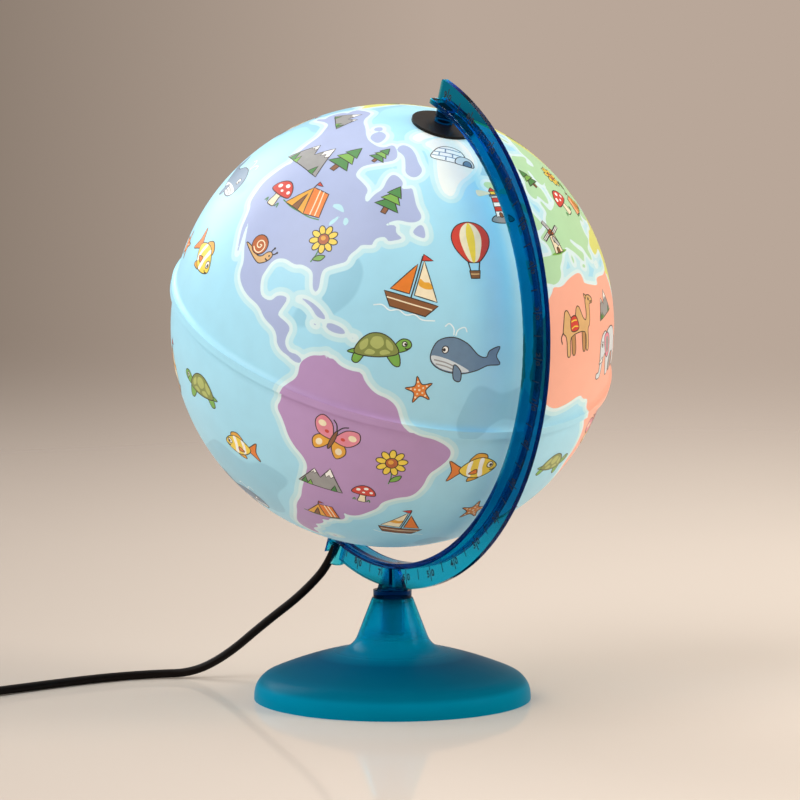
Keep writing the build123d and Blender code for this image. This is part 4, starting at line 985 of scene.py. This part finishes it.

# the same styrene from a blasted mould: frosted, with painted shade darker over its hollow and painted light
# brighter at the rim and up the neck, the neck clearer round the spigot
frostedTintAndShade = {
    "top": 57.5, "clearFrom": 0.42, "clearTo": 0.68,
    # painted light and shade by height: dark over the hollow under the dish, lighter at the rim and up the
    # neck
    "stops": [(0.0, "#0087a6"), (8.6, "#0085a3"), (10.9, "#006e88"), (17.2, "#005a74"), (24.2, "#00506e"),
              (29.9, "#008aa9"), (34.5, "#00acca"), (40.2, "#00c5e3"), (51.8, "#00bedb"), (57.5, "#0092ae")],
    "Transmission Weight": (0.12, 0.88), "Roughness": (0.3, 0.16),
}
frostedBlue = grained("frosted blue styrene", "#ffffff", "#e9f6fa", 0.9, 0.005, {
    "Roughness": 0.28, "IOR": 1.12, "Specular IOR Level": 0.15, "Specular Tint": linear("#3aa8d8")})
tree, shader, height = tintByHeight(frostedBlue, frostedTintAndShade["top"], frostedTintAndShade["stops"])
for socket in ("Transmission Weight", "Roughness"):
    low, high = frostedTintAndShade[socket]
    blend = addNode(tree, "ShaderNodeMapRange", {
        "Value": height, "From Min": frostedTintAndShade["clearFrom"], "From Max": frostedTintAndShade["clearTo"],
        "To Min": low, "To Max": high})
    tree.links.new(blend.outputs["Result"], shader.inputs[socket])
letLampsThrough(tree, shader, "#4fc8e0")

# the small parts: dark and light tone, grain and relief in millimetres, sockets, pieces
smallParts = {
    "black moulded abs": (
        "#0e0907", "#150e0b", 0.7, 0.06, {"Roughness": 0.45, "Specular IOR Level": 0.2},
        "north_pole_cap south_pole_ring switch_base switch_cover coil_tie"),
    "gloss black abs": ("#1b1817", "#241f1e", 1.2, 0.02, {"Roughness": 0.22}, "switch_rocker"),
    "white moulded nylon": ("#dcdbd3", "#ebeae4", 0.8, 0.04, {"Roughness": 0.5}, "lamp_stem lamp_holder"),
    "spring steel strip": (
        "#6d6f74", "#85878c", 0.4, 0.02, {"Roughness": 0.35, "Metallic": 1.0},
        "north_retainer south_retainer"),
    "zinc plated steel": (
        "#a9abb0", "#c3c5c9", 0.5, 0.02, {"Roughness": 0.28, "Metallic": 1.0},
        "arm_screw arm_washer switch_screws holder_nut bulb_filament"),
    "stamped brass": (
        "#b08d45", "#cfae66", 0.5, 0.02, {"Roughness": 0.26, "Metallic": 1.0},
        "holder_sleeve holder_contact holder_terminals bulb_contact switch_contacts switch_lever"),
    "nickel plated brass": (
        "#b9b6ae", "#d0cec8", 0.5, 0.015, {"Roughness": 0.2, "Metallic": 1.0}, "plug_pins"),
    "drawn aluminium cap": ("#bdbec1", "#d5d6d9", 0.6, 0.02, {"Roughness": 0.3, "Metallic": 1.0}, "bulb_cap"),
    "glazed steatite": ("#e0dccf", "#efece2", 1.5, 0.03, {"Roughness": 0.24}, "holder_core"),
    "blown lamp glass": (
        "#f4f4f0", "#fcfcfa", 5.0, 0.01, {"Roughness": 0.03, "Transmission Weight": 1.0, "IOR": 1.5},
        "bulb_glass bulb_mount"),
    "brown core pvc": ("#5a3420", "#6b4028", 0.6, 0.03, {"Roughness": 0.4}, "live_wire"),
    "blue core pvc": ("#2a5596", "#3564a8", 0.6, 0.03, {"Roughness": 0.4}, "neutral_wire"),
}
finishes = [
    (clearBlue, "meridian_arm"), (frostedBlue, "base_shell"),
    (bareStyrene, "north_hemisphere south_hemisphere"),
    (leadSheath, "plug_body cord_grip cord_lead cord_link cord_coil cord_tail"),
    *((grained(name, *look), pieces) for name, (*look, pieces) in smallParts.items()),
]
dressed = 0
for finish, pieces in finishes:
    for name in pieces.split():
        for materialSlot in nodes[name].material_slots:
            materialSlot.material = finish
        dressed += 1
print("finishes on", dressed, "packed pieces")

# printed degree scale on the arm's web: ticks every 5 degrees, plain figures every 10
degreeScale = {
    "foot": 138.0, "longTick": 8.3, "shortTick": 6.0, "tickWidth": 0.72, "step": 5.0, "ticks": 37,
    "figureHeight": 4.1, "figureGap": 2.35, "figureRadius": 142.0, "figureStep": 10, "boldness": 0.034,
    "webHalf": 1.5, "lift": 0.04,
}


def scalePlane():  # drawn flat with the axis upright, then stood on the web's near side
    turn = Matrix([list(row) for row in globeTurn]).to_4x4()
    nearSide = (degreeScale["webHalf"] + degreeScale["lift"]) * mm
    flat = Matrix(((1, 0, 0, 0), (0, 0, -1, -nearSide), (0, 1, 0, 0), (0, 0, 0, 1)))
    return Matrix.Translation((0, 0, globe["height"] * mm)) @ turn @ flat


def tickTree(ink):
    tree = bpy.data.node_groups.new("degree ticks", "GeometryNodeTree")
    for name in ("Geometry", "Count", "Step", "Start", "Foot", "Long", "Short", "Width"):
        kind = {"Geometry": "NodeSocketGeometry", "Count": "NodeSocketInt"}.get(name, "NodeSocketFloat")
        tree.interface.new_socket(name, in_out="INPUT", socket_type=kind)
    tree.interface.new_socket("Geometry", in_out="OUTPUT", socket_type="NodeSocketGeometry")
    given = addNode(tree, "NodeGroupInput").outputs
    line = addNode(tree, "GeometryNodeMeshLine", {"Count": given["Count"], "Offset": (0, 0, 0)})
    index = addNode(tree, "GeometryNodeInputIndex").outputs["Index"]
    angle = addNode(tree, "ShaderNodeMath", {
        0: index, 1: given["Step"], 2: given["Start"]}, operation="MULTIPLY_ADD").outputs[0]
    odd = addNode(tree, "ShaderNodeMath", {0: index, 1: 2.0}, operation="MODULO").outputs[0]
    length = addNode(tree, "ShaderNodeMapRange", {
        "Value": odd, "To Min": given["Long"], "To Max": given["Short"]}).outputs["Result"]
    reach = addNode(tree, "ShaderNodeMath", {
        0: length, 1: 0.5, 2: given["Foot"]}, operation="MULTIPLY_ADD").outputs[0]
    across = addNode(tree, "ShaderNodeMath", {0: angle}, operation="COSINE").outputs[0]
    upward = addNode(tree, "ShaderNodeMath", {0: angle}, operation="SINE").outputs[0]
    heading = addNode(tree, "ShaderNodeCombineXYZ", {"X": across, "Y": upward}).outputs[0]
    spot = addNode(tree, "ShaderNodeVectorMath", {0: heading, "Scale": reach}, operation="SCALE").outputs[0]
    stops = addNode(tree, "GeometryNodeSetPosition", {"Geometry": line.outputs[0], "Position": spot})
    tick = addNode(tree, "GeometryNodeMeshGrid", {
        "Size X": 1.0, "Size Y": given["Width"], "Vertices X": 2, "Vertices Y": 2})
    turn = addNode(tree, "ShaderNodeCombineXYZ", {"Z": angle}).outputs[0]
    stretch = addNode(tree, "ShaderNodeCombineXYZ", {"X": length, "Y": 1.0, "Z": 1.0}).outputs[0]
    placed = addNode(tree, "GeometryNodeInstanceOnPoints", {
        "Points": stops.outputs[0], "Instance": tick.outputs["Mesh"], "Rotation": turn, "Scale": stretch})
    solid = addNode(tree, "GeometryNodeRealizeInstances", {"Geometry": placed.outputs[0]})
    inked = addNode(tree, "GeometryNodeSetMaterial", {"Geometry": solid.outputs[0], "Material": ink})
    addNode(tree, "NodeGroupOutput", {"Geometry": inked.outputs[0]})
    return tree


def runTree(name, tree, values):  # plain mesh from a node tree and its named inputs
    carrier = newObject(name + "_tree", bpy.data.meshes.new(name))
    modifier = carrier.modifiers.new("tree", "NODES")
    modifier.node_group = tree
    for item in tree.interface.items_tree:
        if item.in_out == "INPUT" and item.name in values:
            modifier[item.identifier] = values[item.name]
    mesh = bpy.data.meshes.new_from_object(carrier.evaluated_get(bpy.context.evaluated_depsgraph_get()))
    carrier.modifiers.remove(modifier)
    bpy.data.objects.remove(carrier)
    mesh.name = name
    return mesh


# screen printing ink: nearly black blue, thin and a little broken
scaleInk = grained("navy screen ink", "#06101d", "#0a1929", 0.5, 0.02, {"Roughness": 0.5})
tickMesh = runTree("scale_ticks", tickTree(scaleInk), {
    "Count": degreeScale["ticks"], "Step": -math.radians(degreeScale["step"]), "Start": math.pi / 2,
    "Foot": degreeScale["foot"] * mm, "Long": degreeScale["longTick"] * mm,
    "Short": degreeScale["shortTick"] * mm, "Width": degreeScale["tickWidth"] * mm})
tickMesh.transform(scalePlane())
scaleTicks = newObject("scale_ticks", tickMesh)
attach(scaleTicks, "stand")


def figureShape(character):  # a plain figure, one high and one wide about its middle
    text = bpy.data.curves.new("figure", "FONT")
    text.body = character
    text.resolution_u = 3
    text.offset = degreeScale["boldness"]
    carrier = newObject("figure", text)
    mesh = bpy.data.meshes.new_from_object(carrier.evaluated_get(bpy.context.evaluated_depsgraph_get()))
    bpy.data.objects.remove(carrier)
    points = np.array([v.co[:2] for v in mesh.vertices])
    low, high = points.min(axis=0), points.max(axis=0)
    points = (points - (low + high) / 2) / (high - low).max()
    return points, [tuple(p.vertices) for p in mesh.polygons]


def addFigures():
    shapes = {c: figureShape(c) for c in "0123456789"}
    points, faces = [], []
    for latitude in range(90, -91, -degreeScale["figureStep"]):
        label = str(abs(latitude))
        angle = math.radians(latitude)
        outward = np.array([math.cos(angle), math.sin(angle)])
        upward = outward if latitude >= 0 else -outward  # the south half reads from outside
        right = np.array([upward[1], -upward[0]])
        middle = outward * degreeScale["figureRadius"]
        for character, side in zip(label, (-1, 1)):
            shape, shapeFaces = shapes[character]
            first = len(points)
            for x, y in shape:
                flat = middle + right * (side * degreeScale["figureGap"] + x * degreeScale["figureHeight"])
                points.append((*(flat + upward * y * degreeScale["figureHeight"]) * mm, 0))
            faces += [tuple(first + v for v in face) for face in shapeFaces]
    mesh = meshFrom("scale_figures", points, faces)
    mesh.transform(scalePlane())
    piece = newObject("scale_figures", mesh, scaleInk)
    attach(piece, "stand")
    return piece


scaleFigures = addFigures()
print("scale printed:", len(scaleTicks.data.polygons), "ticks and its figures on",
      len(scaleFigures.data.polygons), "faces")

# pale floor that fades into the backdrop's tone all round, with painted shade darker on the left
table = {
    "radius": 6.0, "rings": 60, "spokes": 96, "fadeFrom": 0.4, "fadeTo": 2.8,
    "lit": "#e6dacd", "shaded": "#c8bcb1", "sides": 0.3,
}


def addTable():
    yaw = math.radians(camera["turn"][2])
    rings, spokes = table["rings"], table["spokes"]
    points, tones, fades = [(0, 0, 0)], [], []
    for ring in range(1, rings + 1):
        reach = table["radius"] * (ring / rings) ** 2
        for turn in 2 * math.pi * np.arange(spokes) / spokes:
            points.append((reach * math.cos(turn), reach * math.sin(turn), 0))
    faces = [(0, 1 + k, 1 + (k + 1) % spokes) for k in range(spokes)]
    for inner in range(1, 1 + (rings - 1) * spokes, spokes):
        outer = inner + spokes
        faces += [(inner + k, outer + k, outer + (k + 1) % spokes, inner + (k + 1) % spokes)
                  for k in range(spokes)]
    lit, shaded = np.array(linear(table["lit"])), np.array(linear(table["shaded"]))
    for x, y, _ in points:
        right = x * math.cos(yaw) + y * math.sin(yaw)
        # painted shade: the table darker to the camera's left, lighter to its right
        tones.append(shaded + (lit - shaded) * np.clip((right / table["sides"] + 1) / 2, 0, 1))
        fade = (math.hypot(x, y) - table["fadeFrom"]) / (table["fadeTo"] - table["fadeFrom"])
        fade = min(1.0, max(0.0, fade))
        fades.append(fade * fade * (3 - 2 * fade))
    mesh = meshFrom("studio_table", points, faces)
    shades = mesh.color_attributes.new("tableLitAndShaded", "FLOAT_COLOR", "POINT")
    shades.data.foreach_set("color", np.array(tones).ravel())
    mesh.attributes.new("fade", "FLOAT", "POINT").data.foreach_set("value", fades)
    mesh.shade_smooth()
    return newObject("studio_table", mesh)


# glossy acrylic table: a faint mirror image at a low angle
acrylic, tree, shader = newMaterial("acrylic studio table", {"Roughness": 0.06, "IOR": 1.14})
tone = addNode(tree, "ShaderNodeVertexColor", layer_name="tableLitAndShaded").outputs["Color"]
tree.links.new(tone, shader.inputs["Base Color"])
fade = addNode(tree, "ShaderNodeAttribute", attribute_name="fade").outputs["Fac"]
below = addNode(tree, "ShaderNodeNewGeometry").outputs["Backfacing"]  # not seen from under the table
clear = addNode(tree, "ShaderNodeMath", {0: fade, 1: below}, operation="MAXIMUM").outputs[0]
gone = addNode(tree, "ShaderNodeBsdfTransparent")
top = addNode(tree, "ShaderNodeMixShader", {
    0: clear, 1: shader.outputs["BSDF"], 2: gone.outputs["BSDF"]})
tree.links.new(top.outputs["Shader"], tree.nodes["Material Output"].inputs["Surface"])
studio = addTable()
studio.data.materials.append(acrylic)

# lamps: place and size in metres, watts, colour, and whether the table may mirror it
lamps = {
    "key softbox": ((0.1, -2.1, 2.0), (2.0, 2.0), 52, "#ffffff", True),
    "right softbox": ((1.5, 1.75, 1.3), (0.8, 1.2), 44, "#fff6ec", False),
    "top softbox": ((-0.4, 0.3, 2.6), (2.4, 2.4), 29, "#ffffff", True),
    "left softbox": ((-2.0, -0.4, 1.4), (1.3, 1.3), 24, "#ffffff", True),
    "low softbox": ((-0.3, -1.9, 0.45), (1.2, 0.7), 5, "#ffffff", False),
}
lampAim = Vector((0, 0, 0.2))
for name, (place, size, power, colour, mirrors) in lamps.items():
    light = bpy.data.lights.new(name, "AREA")
    light.shape = "RECTANGLE"
    light.size, light.size_y = size
    light.energy = power
    light.color = linear(colour)[:3]
    lamp = bpy.data.objects.new(name, light)
    lamp.location = place
    lamp.rotation_euler = (lampAim - Vector(place)).to_track_quat("-Z", "Y").to_euler()
    lamp.visible_camera = False
    lamp.visible_glossy = mirrors
    bpy.context.scene.collection.objects.link(lamp)

# world: soft fill, and the backdrop's own tone, with painted shade darker on the left, for what looks
# straight at it or mirrors it
backdrop = {
    "left": "#887a6e", "right": "#b9a799", "span": (-0.115, 0.01), "fill": "#d8cec4", "fillLevel": 0.27,
}
world = bpy.data.worlds.new("studio")
bpy.context.scene.world = world
world.use_nodes = True
tree = world.node_tree
fill = tree.nodes["Background"]
fill.inputs["Color"].default_value = linear(backdrop["fill"])
fill.inputs["Strength"].default_value = backdrop["fillLevel"]
yaw = math.radians(camera["turn"][2])
heading = addNode(tree, "ShaderNodeTexCoord").outputs["Generated"]
across = addNode(tree, "ShaderNodeVectorMath", {
    0: heading, 1: (math.cos(yaw), math.sin(yaw), 0)}, operation="DOT_PRODUCT").outputs["Value"]
# painted shade: the backdrop darker to the camera's left
lit = addNode(tree, "ShaderNodeMapRange", {
    "Value": across, "From Min": backdrop["span"][0], "From Max": backdrop["span"][1]}).outputs["Result"]
shade = addNode(tree, "ShaderNodeMix", {
    0: lit, 6: linear(backdrop["left"]), 7: linear(backdrop["right"])}, data_type="RGBA").outputs[2]
seen = addNode(tree, "ShaderNodeBackground", {"Color": shade, "Strength": 1.0})
path = addNode(tree, "ShaderNodeLightPath").outputs
looks = path["Is Camera Ray"]
for ray in ("Is Glossy Ray", "Is Transmission Ray"):
    looks = addNode(tree, "ShaderNodeMath", {0: looks, 1: path[ray]}, operation="MAXIMUM").outputs[0]
both = addNode(tree, "ShaderNodeMixShader", {0: looks, 1: fill.outputs[0], 2: seen.outputs[0]})
tree.links.new(both.outputs["Shader"], tree.nodes["World Output"].inputs["Surface"])
print("studio lit")
